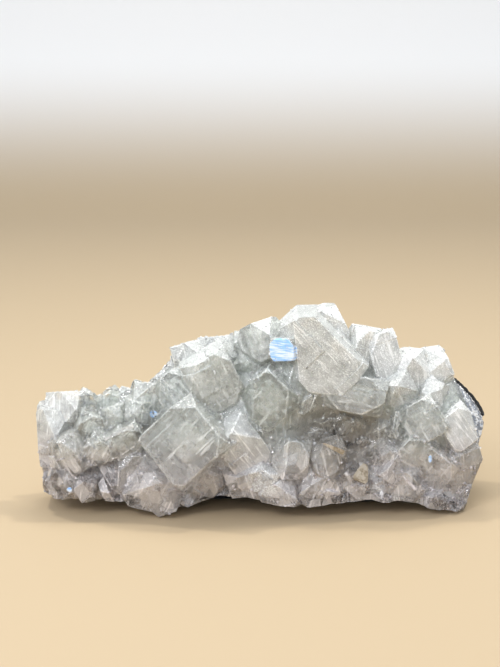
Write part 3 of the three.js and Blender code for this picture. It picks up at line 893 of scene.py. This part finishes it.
# veils and growth lines are drawn out along the crystal, so they read the grain
ASKEW = (0, 0, 0.25)  # a small turn about the length, off the prism faces
along = add(tree, "Mapping", {"Vector": grain, "Scale": (1.0, 1.0, 0.09), "Rotation": ASKEW})[0]
veil = add(tree, "TexNoise", {"Vector": along, "Scale": 1 / 1.2, "Detail": 5.0, "Roughness": 0.68})["Fac"]
line_place = add(tree, "Mapping", {"Vector": grain, "Scale": (1.0, 1.0, 0.03), "Rotation": ASKEW})[0]
growth_line = add(tree, "TexNoise", {"Vector": line_place, "Scale": 1 / 0.7, "Detail": 3.0})["Fac"]

# splintered crystal breaks in flat chips about 4 mm across, each leaning its own way
chips = add(tree, "TexVoronoi", {"Vector": skewed, "Scale": 1 / 3.9})
chip_lean = add(tree, "VectorMath", {0: chips["Color"], 1: (0.5, 0.5, 0.5)}, operation="SUBTRACT")[0]
from_chip = add(tree, "VectorMath", {0: skewed, 1: chips["Position"]}, operation="SUBTRACT")[0]
chip_slope = add(tree, "VectorMath", {0: from_chip, 1: chip_lean}, operation="DOT_PRODUCT")["Value"]
chip_tone = add(tree, "SeparateXYZ", {0: chip_lean})[0]
print("patterns ready:", len(tree.nodes), "nodes")

# %% Apophyllite: where it is frosted, veiled, worn or splintered
patches, coarse_grit, specks, pits, veils, high, open_up = (
    add(tree, "MapRange", {"Value": pattern, "From Min": none, "From Max": full}, **SOFT)[0]
    for pattern, none, full in (
        (patch, 0.54, 0.8), (grit, 0.4, 0.62), (grit, 0.54, 0.64), (grit, 0.42, 0.32),
        (veil, 0.54, 0.65), (height, 26.0, 58.0), (upward, 0.25, 0.9),
    )
)
open_top = add(tree, "Math", {0: high, 1: open_up}, operation="MULTIPLY")[0]
patchy_grit = add(tree, "Math", {0: patches, 1: coarse_grit}, operation="MULTIPLY")[0]
gritty_top = add(tree, "MapRange", {"Value": grit, "From Min": 0.36, "From Max": 0.66, "To Min": 0.35})[0]
top_frost = add(tree, "Math", {0: open_top, 1: gritty_top}, operation="MULTIPLY")[0]
weathered = add(tree, "Math", {0: patchy_grit, 1: top_frost}, operation="MAXIMUM")[0]
KNOCK = (-0.5, -27.3, 13.8)  # a bruise low on the front
from_knock = add(tree, "VectorMath", {0: place, 1: KNOCK}, operation="DISTANCE")["Value"]
knocked = add(tree, "MapRange", {"Value": from_knock, "From Min": 7.0, "From Max": 4.0}, **SOFT)[0]
bruise = add(tree, "Math", {0: knocked, 1: coarse_grit}, operation="MULTIPLY")[0]
frost = add(tree, "Math", {0: weathered, 1: bruise}, operation="MAXIMUM")[0]
drift = add(tree, "Math", {0: mottle, 1: 14.0, 2: height}, operation="MULTIPLY_ADD")[0]
low_zone = add(tree, "MapRange", {"Value": drift, "From Min": 40.0, "From Max": 20.0}, **SOFT)[0]
spared = add(tree, "Math", {0: sound, 1: -0.85, 2: 1.0}, operation="MULTIPLY_ADD")[0]
crushed = add(tree, "Math", {0: low_zone, 1: spared}, operation="MULTIPLY")[0]
intact = add(tree, "Math", {0: crushed, 1: -0.6, 2: 1.0}, operation="MULTIPLY_ADD")[0]
gritty_rim = add(tree, "Math", {0: worn_rim, 1: coarse_grit}, operation="MULTIPLY")[0]
rubbed = add(tree, "Math", {0: gritty_rim, 1: intact}, operation="MULTIPLY")[0]
splintered = add(tree, "Math", {0: crushed, 1: 0.88, 2: 0.12}, operation="MULTIPLY_ADD")[0]
print("wear ready:", len(tree.nodes), "nodes")

# %% Apophyllite: tint
half_pits = add(tree, "Math", {0: pits, 1: 0.5}, operation="MULTIPLY")[0]
HOLLOW = (25.0, -12.0, 26.0)  # the back of the hollow is painted browner and darker: partly rock dust, partly painted shade in the recess
in_hollow = add(tree, "VectorMath", {0: place, 1: HOLLOW}, operation="DISTANCE")["Value"]
DUST_AND_SHADE = {"From Min": 22.0, "From Max": 8.0, "To Max": 0.5}
dust_and_shade = add(tree, "MapRange", {"Value": in_hollow} | DUST_AND_SHADE, **SOFT)[0]
tint = add(tree, "Mix", {0: tone, 6: colour("#EEF2EC"), 7: colour("#F8F9F6")}, data_type="RGBA")[2]
for share, code in (  # rosy low down, frosted white, pitted grey, dusty brown with painted shade in the hollow
    (low_zone, "#F5F0EE"), (frost, "#E4E7E4"), (half_pits, "#CBCFC6"), (dust_and_shade, "#CFC2B0"),
):
    tint = add(tree, "Mix", {0: share, 6: tint, 7: colour(code)}, data_type="RGBA")[2]

# One face of the crown is painted with a pale blue reflection of a bluish light, a painted highlight ruled by
# fine steps. Three small faces lower down carry smaller painted blue glints. Each painted reflection is an
# egg of space with a ragged edge.
PAINTED_REFLECTIONS = [  # middle, squeeze along x, y and z, reach
    ((5.6, -22.6, 55.8), (1, 1, 1), 4.7), ((-64.2, -22.6, 9.5), (1, 1, 1.3), 1.0),
    ((-37.0, -15.0, 33.3), (1, 1, 1.4), 1.3), ((54.3, -20.1, 19.3), (2.8, 1, 1), 1.2),
]
painted_reflection = 0.0
for middle, squeeze, reach in PAINTED_REFLECTIONS:
    offset = add(tree, "VectorMath", {0: place, 1: middle}, operation="SUBTRACT")[0]
    squeezed = add(tree, "VectorMath", {0: offset, 1: squeeze}, operation="MULTIPLY")[0]
    away = add(tree, "VectorMath", {0: squeezed}, operation="LENGTH")["Value"]
    ragged = add(tree, "Math", {0: patch, 1: 2.6, 2: away}, operation="MULTIPLY_ADD")[0]
    near = add(tree, "MapRange", {"Value": ragged, "From Min": reach + 1.5, "From Max": reach + 1.2})[0]
    painted_reflection = add(tree, "Math", {0: near, 1: painted_reflection}, operation="MAXIMUM")[0]
LONG, LEVEL = (0.12, 0.12, 1.0), (0, 0.12, 0)  # the ruling of the painted reflection is drawn out sideways and lies nearly level
reflection_ruling_place = add(tree, "Mapping", {"Vector": place, "Scale": LONG, "Rotation": LEVEL})[0]
reflection_ruling = add(tree, "TexNoise", {"Vector": reflection_ruling_place, "Scale": 1 / 0.6, "Detail": 2.0})["Fac"]
reflection_ruled = add(tree, "MapRange", {"Value": reflection_ruling, "From Min": 0.45, "From Max": 0.58})[0]
painted_reflection_blue = add(tree, "Mix", {0: reflection_ruled, 6: colour("#9CCBFF"), 7: colour("#E4F1FF")}, data_type="RGBA")[2]
tint_with_painted_reflection = add(tree, "Mix", {0: painted_reflection, 6: tint, 7: painted_reflection_blue}, data_type="RGBA")[2]
print("tint ready:", len(tree.nodes), "nodes")

# %% Apophyllite: clearness, polish and relief
steep_tone = add(tree, "Math", {0: tone, 1: 2.0}, operation="POWER")[0]
even_cloud = add(tree, "Math", {0: steep_tone, 1: 0.36, 2: 0.085}, operation="MULTIPLY_ADD")[0]
GATHER = {"From Min": 0.38, "From Max": 0.62, "To Min": 0.8, "To Max": 1.2}
gather = add(tree, "MapRange", {"Value": patch} | GATHER, **SOFT)[0]
chip_cloud = add(tree, "Math", {0: chip_tone, 1: splintered}, operation="MULTIPLY")[0]
speck_share = add(tree, "Math", {0: high, 1: 0.28, 2: 0.12}, operation="MULTIPLY_ADD")[0]
cloud = add(tree, "Math", {0: even_cloud, 1: gather}, operation="MULTIPLY")[0]
for pattern, weight in (
    (crushed, 0.07), (chip_cloud, 0.4), (frost, 0.5), (veils, 0.34), (specks, speck_share),
):
    cloud = add(tree, "Math", {0: pattern, 1: weight, 2: cloud}, operation="MULTIPLY_ADD")[0]
milkiness = add(tree, "Math", {0: rubbed, 1: 0.5, 2: cloud}, operation="MULTIPLY_ADD", use_clamp=True)[0]
# the painted blue reflection is also made milky, so it shows as a pale patch
milkiness_with_painted_reflection = add(tree, "Math", {0: painted_reflection, 1: 0.8, 2: milkiness}, operation="MULTIPLY_ADD")[0]
clearness = add(tree, "Math", {0: 1.0, 1: milkiness_with_painted_reflection}, operation="SUBTRACT", use_clamp=True)[0]

dull = 0.0
for pattern, weight in ((mottle, 0.06), (frost, 0.25)):
    dull = add(tree, "Math", {0: pattern, 1: weight, 2: dull}, operation="MULTIPLY_ADD")[0]
worn = add(tree, "Math", {0: rubbed, 1: 0.2, 2: dull}, operation="MULTIPLY_ADD", use_clamp=True)[0]

not_prism = add(tree, "Math", {0: flat_end, 1: broken}, operation="MAXIMUM")[0]
on_prism = add(tree, "Math", {0: 1.0, 1: not_prism}, operation="SUBTRACT")[0]
lines_here = add(tree, "Math", {0: growth_line, 1: on_prism}, operation="MULTIPLY")[0]
leaning = add(tree, "Math", {0: chip_slope, 1: splintered}, operation="MULTIPLY")[0]
facets = add(tree, "Bump", {"Height": leaning, "Strength": 1.0, "Distance": 0.0005})[0]
waves = add(tree, "Bump", {"Height": patch, "Strength": 0.25, "Distance": 0.0006, "Normal": facets})[0]
lines = add(tree, "Bump", {"Height": lines_here, "Strength": 0.6, "Distance": 0.0004, "Normal": waves})[0]
relief = add(tree, "Bump", {"Height": grit, "Strength": 0.25, "Distance": 0.0002, "Normal": lines})[0]
inside = add(tree, "VolumeAbsorption", {"Color": colour("#D0DCD6"), "Density": 5.0})[0]
APOPHYLLITE_IOR = 1.535
# the base colour carries the painted blue reflection on the crown face and the small painted glints
feed(tree, shader, {"Base Color": tint_with_painted_reflection, "Transmission Weight": clearness, "Roughness": worn})
feed(tree, shader, {"IOR": APOPHYLLITE_IOR, "Normal": relief})
feed(tree, tree.nodes["Material Output"], {"Volume": inside})
piece("apophyllite_crystals", crust_mesh, apophyllite, "apophyllite", "apophyllite_crust")
print("apophyllite:", len(tree.nodes), "nodes")

# %% [markdown]
# ## The cloud inside the crystals
# The skin of each crystal is clear, and the middle is cloudy with tiny cracks and trapped fluid,
# which is what makes the whole mass glow pale. A surface can't show that depth, so the cloud is a
# body of its own: every crystal drawn smaller around its own middle, merged with the thick of the
# bed by a voxel remesh, then made uneven. It is seen through the clear skin, with its refraction.

# %% The cloud as one soft body
hearts = host_mesh("cloud", RIND + BED - 3.5, bed_thinning, detail=5)
body = bmesh.new()
body.from_mesh(hearts)
cloud_chance = random.Random(7)
for grown_block in crystals:
    share = cloud_chance.uniform(0.4, 0.78)  # how much of the crystal's width is cloudy
    if min(grown_block["size"]) < THICK or not grown_block["whole"]:
        continue
    size, cuts = ([share * v for v in grown_block[key]] for key in ("size", "cuts"))
    heart = upright_block(size, cuts)
    heart.transform(Matrix.Translation(grown_block["middle"]) @ grown_block["turn"].to_4x4())
    heart_mesh = mesh_of(heart, "heart")
    body.from_mesh(heart_mesh)
    bpy.data.meshes.remove(heart_mesh)
body.to_mesh(hearts)
body.free()


def remeshed(mesh, voxel, relax=0):
    """All the overlapping bodies of a mesh merged into one even skin of small squares."""
    lump = bpy.data.objects.new("lump", mesh)
    scene.collection.objects.link(lump)
    remesh = lump.modifiers.new("remesh", "REMESH")
    remesh.mode = "VOXEL"
    remesh.voxel_size = voxel
    if relax:
        soften = lump.modifiers.new("soften", "SMOOTH")
        soften.factor = 0.5
        soften.iterations = relax
    return applied(lump)


def roughened(mesh, depth):
    """Moves every point along its normal by a depth that depends on its place, and shades it smooth."""
    points = table_of(mesh.vertices, "co", 3, np.float32)
    normals = table_of(mesh.vertices, "normal", 3, np.float32)
    moves = np.array([depth(Vector(point)) for point in points], np.float32)
    mesh.vertices.foreach_set("co", (points + normals * moves[:, None]).ravel())
    mesh.polygons.foreach_set("use_smooth", np.ones(len(mesh.polygons), bool))
    mesh.update()


cloud_mesh = remeshed(hearts, 1.0, 3)
lifted_arch = under_the_arch()
lifted_arch.transform(Matrix.Translation((0, 0, 1.6)))
cloud_cutters = [host_mesh("inside_rock", RIND + GAP + 0.8, detail=5), lifted_arch]
for point, normal, _ in BREAKS:
    cloud_cutters.append(beyond(Vector(point) - 1.2 * Vector(normal).normalized(), normal))
cloud_mesh = combined("cloud", cloud_mesh, cloud_cutters, "DIFFERENCE")
cloud_mesh = remeshed(cloud_mesh, 0.9, 1)
roughened(cloud_mesh, lambda p: -0.3 - 0.8 * max(-0.3, noise.fractal(p * 0.35, 1.0, 2.0, 3)))
to_frame(cloud_mesh)
print("cloud:", len(cloud_mesh.polygons), "faces")

# %% Cloudy core
# the cloudy heart: cracks of all sizes scatter the light, so it is nearly white, with wisps
core, tree, shader, place = new_material("cloudy_apophyllite_core")
height = add(tree, "SeparateXYZ", {0: place})[2]
wisp = add(tree, "TexNoise", {"Vector": place, "Scale": 1 / 2.4, "Detail": 5.0, "Roughness": 0.68})["Fac"]
crumb = add(tree, "TexNoise", {"Vector": place, "Scale": 1 / 0.6, "Detail": 3.0, "Roughness": 0.6})["Fac"]
wisps = add(tree, "MapRange", {"Value": wisp, "From Min": 0.42, "From Max": 0.6}, **SOFT)[0]
crumbs = add(tree, "MapRange", {"Value": crumb, "From Min": 0.55, "From Max": 0.7}, **SOFT)[0]
low = add(tree, "MapRange", {"Value": height, "From Min": 36.0, "From Max": 14.0, "To Max": 0.6})[0]
in_hollow = add(tree, "VectorMath", {0: place, 1: HOLLOW}, operation="DISTANCE")["Value"]
dust_and_shade = add(tree, "MapRange", {"Value": in_hollow} | DUST_AND_SHADE, **SOFT)[0]
tint = colour("#CDD3CB")
# the last share paints the hollow darker brown: partly rock dust, partly painted shade in the recess
for share, code in ((wisps, "#FAFBF9"), (low, "#F0EAE7"), (crumbs, "#FDFDFC"), (dust_and_shade, "#A99C8B")):
    tint = add(tree, "Mix", {0: share, 6: tint, 7: colour(code)}, data_type="RGBA")[2]
rough_skin = add(tree, "Bump", {"Height": crumb, "Strength": 0.7, "Distance": 0.0006})[0]
feed(tree, shader, {"Base Color": tint, "Roughness": 0.4, "IOR": APOPHYLLITE_IOR, "Normal": rough_skin})
piece("cloudy_core", cloud_mesh, core, "apophyllite")

# %% [markdown]
# ## Sugary crystals
# The sugar is hundreds of nearly equal little blocks, so Geometry Nodes sets them: one stone on
# each point of a bare point cloud, turned by chance and sized by an attribute. The stone is a cube
# with its corners cut to the middle of its edges, which is the cheapest form that still glints.

# %% The tree that sets a stone on every point
setting = bpy.data.node_groups.new("stones_on_points", "GeometryNodeTree")
SOCKETS = {
    "Geometry": "Geometry", "Stone": "Object", "Smallest": "Float", "Largest": "Float",
    "Seed": "Int", "Finish": "Material",
}
for name, kind in SOCKETS.items():
    setting.interface.new_socket(name, in_out="INPUT", socket_type="NodeSocket" + kind)
setting.interface.new_socket("Geometry", in_out="OUTPUT", socket_type="NodeSocketGeometry")
given = add(setting, "NodeGroupInput")
stone = add(setting, "GeometryNodeObjectInfo", {"Object": given["Stone"]})["Geometry"]
any_turn = {0: (0, 0, 0), 1: (6.28, 6.28, 6.28), 8: given["Seed"]}
turned = add(setting, "FunctionNodeRandomValue", any_turn, data_type="FLOAT_VECTOR")[0]
any_size = {2: given["Smallest"], 3: given["Largest"], 8: given["Seed"]}
sized = add(setting, "FunctionNodeRandomValue", any_size)[1]
on_points = {"Points": given["Geometry"], "Instance": stone, "Rotation": turned, "Scale": sized}
stones = add(setting, "GeometryNodeInstanceOnPoints", on_points)[0]
real = add(setting, "GeometryNodeRealizeInstances", {"Geometry": stones})[0]
finished = add(setting, "GeometryNodeSetMaterial", {"Geometry": real, "Material": given["Finish"]})[0]
add(setting, "NodeGroupOutput", {"Geometry": finished})
inputs = [item for item in setting.interface.items_tree if item.in_out == "INPUT"]
socket_of = {item.name: item.identifier for item in inputs}


def set_stones(name, points, stone_mesh, smallest, largest, seed, finish):
    """A plain mesh in the frame, with a stone on every point."""
    cloud_of_points = bpy.data.meshes.new(name)
    cloud_of_points.from_pydata([tuple(point) for point in points], [], [])
    holder = bpy.data.objects.new(name, cloud_of_points)
    pattern = bpy.data.objects.new("stone", stone_mesh)
    for helper in (holder, pattern):
        scene.collection.objects.link(helper)
    modifier = holder.modifiers.new("set", "NODES")
    modifier.node_group = setting
    values = {"Stone": pattern, "Smallest": smallest, "Largest": largest, "Seed": seed, "Finish": finish}
    for key, value in values.items():
        modifier[socket_of[key]] = value
    mesh = applied(holder, pattern)
    to_frame(mesh)
    return mesh


print("tree nodes:", len(setting.nodes))

# %% Sugar on the top, in the joints and on the broken back
# sugary apophyllite: fresh, glassy and white from its many faces
sugar, tree, shader, place = new_material("sugary_apophyllite")
height = add(tree, "SeparateXYZ", {0: place})[2]
spot = add(tree, "TexNoise", {"Vector": place, "Scale": 1 / 1.6, "Detail": 2.0})["Fac"]
low = add(tree, "MapRange", {"Value": height, "From Min": 34.0, "From Max": 12.0}, **SOFT)[0]
warm = add(tree, "Mix", {0: low, 6: colour("#F7F8F5"), 7: colour("#EFE9E9")}, data_type="RGBA")[2]
SPOTS = {"From Min": 0.35, "From Max": 0.65, "To Min": 0.25, "To Max": 0.85}
clear = add(tree, "MapRange", {"Value": spot} | SPOTS)[0]
feed(tree, shader, {"Base Color": warm, "Transmission Weight": clear})
feed(tree, shader, {"Roughness": 0.12, "IOR": APOPHYLLITE_IOR})

stone_mesh = mesh_of(upright_block([1.0, 1.0, 1.15], [0.28] * 8), "sugar_grain")
for name, points, smallest, largest, seed in (
    ("sugar_on_top", top_points, 0.2, 0.6, 1),
    ("sugar_in_joints", joint_points, 0.25, 0.9, 2),
    ("grains_on_back", break_points, 0.4, 1.4, 6),
):
    grains_mesh = set_stones(name, points, stone_mesh, smallest, largest, seed, sugar)
    piece(name, grains_mesh, sugar, "apophyllite")
    print(name, "has", len(grains_mesh.polygons), "faces")

# %% Foil-like cleavage
# an air-filled crack: bright as foil where light is turned back, nearly unseen edge on
foil, tree, shader, place = new_material("pearly_cleavage")
feather = add(tree, "TexNoise", {"Vector": place, "Scale": 1 / 0.8, "Detail": 4.0, "Roughness": 0.6})["Fac"]
height = add(tree, "SeparateXYZ", {0: place})[2]
low = add(tree, "MapRange", {"Value": height, "From Min": 34.0, "From Max": 12.0}, **SOFT)[0]
pearl = add(tree, "Mix", {0: low, 6: colour("#FBFCFA"), 7: colour("#F4EFED")}, data_type="RGBA")[2]
FEATHERS = {"From Min": 0.4, "From Max": 0.6, "To Min": 0.85, "To Max": 0.2}
seen_through = add(tree, "MapRange", {"Value": feather} | FEATHERS)[0]
feed(tree, shader, {"Base Color": pearl, "Transmission Weight": seen_through})
feed(tree, shader, {"Roughness": 0.18, "IOR": 1.3})
piece("cleavage_in_blocks", leaf_mesh, foil, "apophyllite")
chip = bmesh.new()
bmesh.ops.create_cone(chip, cap_ends=True, segments=6, radius1=0.5, radius2=0.42, depth=0.05)
bmesh.ops.scale(chip, vec=(1.0, 0.62, 1.0), verts=chip.verts[:])
chip_mesh = mesh_of(chip, "cleavage_chip")
chips_mesh = set_stones("cleavage_in_base", chip_points, chip_mesh, 0.7, 3.0, seed=5, finish=foil)
piece("cleavage_in_base", chips_mesh, foil, "apophyllite")
print("leaves:", len(leaf_mesh.polygons), "faces, chips:", len(chip_points))

# %% Splinters caught on the front
# iron-stained splinters: tan and half clear, from weathered crystal
stained, tree, shader, place = new_material("iron_stained_apophyllite")
rust = add(tree, "TexNoise", {"Vector": place, "Scale": 1 / 1.3, "Detail": 4.0, "Roughness": 0.6})["Fac"]
rusty = add(tree, "MapRange", {"Value": rust, "From Min": 0.38, "From Max": 0.62}, **SOFT)[0]
tan = add(tree, "Mix", {0: rusty, 6: colour("#D9CDB8"), 7: colour("#8F8068")}, data_type="RGBA")[2]
CLEAR_PARTS = {"From Min": 0.3, "From Max": 0.7, "To Min": 0.5, "To Max": 0.1}
half_clear = add(tree, "MapRange", {"Value": rust} | CLEAR_PARTS)[0]
feed(tree, shader, {"Base Color": tan, "Transmission Weight": half_clear})
feed(tree, shader, {"Roughness": 0.22, "IOR": APOPHYLLITE_IOR})

# %% Long broken wedges
SECTION = [(1, 1), (-1, 0.8), (-0.8, -1), (0.7, -1)]  # a splinter's uneven cross-section
TAPERS = [(0.0, 0.3), (0.4, 0.7), (0.85, 1.0), (1.0, 0.85)]  # how far along, and how wide there


def splinters(name, finish, wedges):
    """Long wedges from a narrow tip to a broken butt, each as broad and deep as given."""
    body = bmesh.new()
    for tip, butt, broad, deep in wedges:
        start, end = Vector(tip), Vector(butt)
        forward = (end - start).normalized()
        across = forward.cross(Vector((0, -1, 0))).normalized()
        out = across.cross(forward)
        rings = []
        for share, taper in TAPERS:
            centre = start.lerp(end, share)
            corners = [centre + taper * (a * broad * across + b * deep * out) / 2 for a, b in SECTION]
            rings.append([body.verts.new(corner) for corner in corners])
        for near_ring, far_ring in zip(rings, rings[1:]):
            for k in range(4):
                after = (k + 1) % 4
                body.faces.new((near_ring[k], near_ring[after], far_ring[after], far_ring[k]))
        body.faces.new(rings[0])
        body.faces.new(rings[-1])
    bmesh.ops.recalc_face_normals(body, faces=body.faces[:])
    mesh = mesh_of(body, name)
    to_frame(mesh)
    piece(name, mesh, finish, "apophyllite")
    print(name, "has", len(mesh.polygons), "faces")


splinters("white_splinters", sugar, [
    ((46.0, -22.7, 14.6), (50.4, -22.5, 9.8), 1.0, 0.8),
    ((-51.5, -22.4, 26.6), (-42.0, -22.0, 31.4), 1.5, 1.1),
])
splinters("tan_splinters", stained, [
    ((33.8, -21.0, 18.0), (31.6, -23.7, 12.9), 5.2, 2.4),
    ((19.8, -24.4, 26.0), (26.6, -24.4, 22.9), 1.6, 1.0),
])

# %% [markdown]
# ## The chalcedony rind
# Chalcedony coats the rock as a skin 3 mm thick: grey-blue and granular where it is bare, with a
# white rim and a thin dark line where it was broken across. The skin is cut to its limits with
# booleans, remeshed evenly and roughened, and rounded grains are set where it lies bare.

# %% Rind: form
RIND_BACK, RIND_BACK_NORMAL = (0, 16, 30), (0.1, 1, 0.1)
rind_cutters = [host_mesh("rock_side", GAP, detail=5), under_the_arch()]
for point, normal in (FLAT_BASE, RIGHT_END, (RIND_BACK, RIND_BACK_NORMAL)):
    rind_cutters.append(beyond(point, normal))
rind_mesh = combined("rind", host_mesh("rind", RIND, detail=5), rind_cutters, "DIFFERENCE")
without_crumbs(rind_mesh)
rind_mesh = remeshed(rind_mesh, 0.85)
roughened(rind_mesh, lambda p: 0.16 * noise.noise(p * 1.1) + 0.12 * noise.noise(p * 2.6) - 0.08)
middles, outward = table_of(rind_mesh.polygons, "center", 3), table_of(rind_mesh.polygons, "normal", 3)
BROKEN_END, BROKEN_END_NORMAL, _ = BREAKS[5]
past_break = (middles - BROKEN_END) @ np.array(BROKEN_END_NORMAL) > 0.8
from_rock = (middles - HOST_CENTRE) * outward
bare = (past_break & (from_rock.sum(1) > 0) & (middles[:, 1] < 14.5)).astype(float)
grain_points, _ = points_on_faces(rind_mesh, bare + ALL, count=1500, seed=6)
to_frame(rind_mesh)
print("rind:", len(rind_mesh.polygons), "faces, bare:", int(bare.sum()))

# %% Rind: chalcedony
# chalcedony: fine fibrous quartz, waxy, grey-blue, white where it is weathered
chalcedony, tree, shader, place = new_material("granular_chalcedony")
back_normal = Vector(RIND_BACK_NORMAL).normalized()
to_back = add(tree, "VectorMath", {0: place, 1: tuple(back_normal)}, operation="DOT_PRODUCT")["Value"]
edge_at = back_normal.dot(Vector(RIND_BACK) - Vector(MIDDLE_OF_SPECIMEN))
granule = add(tree, "TexVoronoi", {"Vector": place, "Scale": 1 / 1.1})["Distance"]
blotch = add(tree, "TexNoise", {"Vector": place, "Scale": 1 / 2.5, "Detail": 4.0})["Fac"]
grained = add(tree, "MapRange", {"Value": granule, "From Min": 0.15, "From Max": 0.6}, **SOFT)[0]
bloom = add(tree, "MapRange", {"Value": blotch, "From Min": 0.5, "From Max": 0.62}, **SOFT)[0]
edge = add(tree, "Math", {0: blotch, 1: 1.2, 2: to_back}, operation="MULTIPLY_ADD")[0]
dark_line = add(tree, "MapRange", {"Value": edge, "From Min": edge_at - 1.6, "From Max": edge_at - 1.3})[0]
white_rim = add(tree, "MapRange", {"Value": edge, "From Min": edge_at - 0.9, "From Max": edge_at - 0.7})[0]
tint = colour("#E4E8EC")
for share, code in (
    (grained, "#8B929D"), (bloom, "#EFF1F2"), (dark_line, "#5B5F66"), (white_rim, "#EDEEEC"),
):
    tint = add(tree, "Mix", {0: share, 6: tint, 7: colour(code)}, data_type="RGBA")[2]
WAX = {"From Min": 0.3, "From Max": 0.7, "To Min": 0.28, "To Max": 0.55}
waxy = add(tree, "MapRange", {"Value": blotch} | WAX)[0]
knobbly = add(tree, "Bump", {"Height": granule, "Strength": 0.7, "Distance": 0.0005}, invert=True)[0]
feed(tree, shader, {"Base Color": tint, "Roughness": waxy, "IOR": 1.54, "Normal": knobbly})
piece("chalcedony_skin", rind_mesh, chalcedony, "chalcedony", "chalcedony_rind")
pebble = bmesh.new()
bmesh.ops.create_icosphere(pebble, subdivisions=1, radius=0.5)
pebble_mesh = mesh_of(pebble, "rind_grain")
grains_mesh = set_stones("chalcedony_grains", grain_points, pebble_mesh, 0.5, 1.5, seed=3, finish=chalcedony)
grains_mesh.polygons.foreach_set("use_smooth", np.ones(len(grains_mesh.polygons), bool))
piece("chalcedony_grains", grains_mesh, chalcedony, "chalcedony")
print("chalcedony:", len(tree.nodes), "nodes")

# %% [markdown]
# ## The basalt
# The wall rock is black fine-grained basalt, split along uneven faces, with gas bubbles of one to
# three millimetres. Its form is the CAD solid's, rebuilt on an even net of points so that it can
# be pitted and roughened; the base stays flat, because the specimen rests on it.

# %% Basalt: form
x, y, z = RIND_BACK
behind_rind = beyond((x, y + GAP, z), [-v for v in RIND_BACK_NORMAL])
rock_side = combined("bulge", host_mesh("bulge", RIND + 1.4, detail=5), [behind_rind], "DIFFERENCE")
rock_mesh = combined("rock", host_mesh("rock", 0, detail=5), [rock_side], "UNION")
SPLITS = [
    FLAT_BASE, RIGHT_END, ((0, 34, 20), (0.05, 1, -0.1)),
    ((-30, 31, 12), (-0.4, 1, 0.2)), ((45, 32, 20), (0.35, 1, 0.15)), ((10, 28, 38), (0, 0.8, 0.7)),
    ((62, 28, 14), (0.7, 1, -0.35)), ((-8, 33, 8), (-0.1, 1, -0.55)), ((38, 26, 40), (0.35, 0.6, 0.75)),
]
rock_mesh = combined("rock", rock_mesh, [beyond(point, normal) for point, normal in SPLITS], "DIFFERENCE")
# the boolean starts the widest split of the back at either of two corners, by chance, and the remesh
# feels that, so this face is listed again from its lowest corner
widest = max((face for face in rock_mesh.polygons if face.normal.y > 0), key=lambda face: face.area)
corner_lists = [tuple(face.vertices) for face in rock_mesh.polygons]
split = corner_lists[widest.index]
start = split.index(min(split))
corner_lists[widest.index] = split[start:] + split[:start]
steady_rock = bpy.data.meshes.new("rock")
steady_rock.from_pydata([v.co[:] for v in rock_mesh.vertices], [], corner_lists)
rock_mesh = remeshed(steady_rock, 1.0)


def rock_relief(place):
    """How far the broken rock stands out or falls in, in millimetres: chips, grain and bubbles."""
    if place.z < 0.6:
        return 0.0
    chips = min(0.0, 1.6 * noise.fractal(place * 0.09, 0.9, 2.1, 3))
    coarse = 0.25 * noise.noise(place * 0.9)
    near, _ = noise.voronoi(place * 0.16)
    bubble = -1.3 * max(0.0, 1.0 - near[0] / 0.2) ** 0.5 if near[0] < 0.2 else 0.0
    return min(0.15, chips * 0.5 + coarse + bubble)


roughened(rock_mesh, rock_relief)
rock_mesh.polygons.foreach_set("use_smooth", np.zeros(len(rock_mesh.polygons), bool))
to_frame(rock_mesh)
print("rock:", len(rock_mesh.polygons), "faces")

# %% Basalt: stone
# basalt: black to dark grey, matt, with grey feldspar specks and a brown weathered bloom
basalt, tree, shader, place = new_material("split_basalt")
fleck = add(tree, "TexNoise", {"Vector": place, "Scale": 1 / 0.7, "Detail": 3.0, "Roughness": 0.6})["Fac"]
stain = add(tree, "TexNoise", {"Vector": place, "Scale": 1 / 14, "Detail": 5.0, "Roughness": 0.6})["Fac"]
flecks = add(tree, "MapRange", {"Value": fleck, "From Min": 0.6, "From Max": 0.72}, **SOFT)[0]
stains = add(tree, "MapRange", {"Value": stain, "From Min": 0.52, "From Max": 0.68}, **SOFT)[0]
brown_share = add(tree, "Math", {0: stains, 1: 0.45}, operation="MULTIPLY")[0]
tint = colour("#17181A")
for share, code in ((fleck, "#3A3C3F"), (brown_share, "#57493C"), (flecks, "#6F7376")):
    tint = add(tree, "Mix", {0: share, 6: tint, 7: colour(code)}, data_type="RGBA")[2]
MATT = {"From Min": 0.3, "From Max": 0.7, "To Min": 0.9, "To Max": 0.6}
matt = add(tree, "MapRange", {"Value": fleck} | MATT)[0]
gritty = add(tree, "Bump", {"Height": fleck, "Strength": 0.7, "Distance": 0.0006})[0]
feed(tree, shader, {"Base Color": tint, "Roughness": matt, "Normal": gritty})
piece("basalt_rock", rock_mesh, basalt, "basalt", "basalt_matrix")
print("basalt:", len(tree.nodes), "nodes")
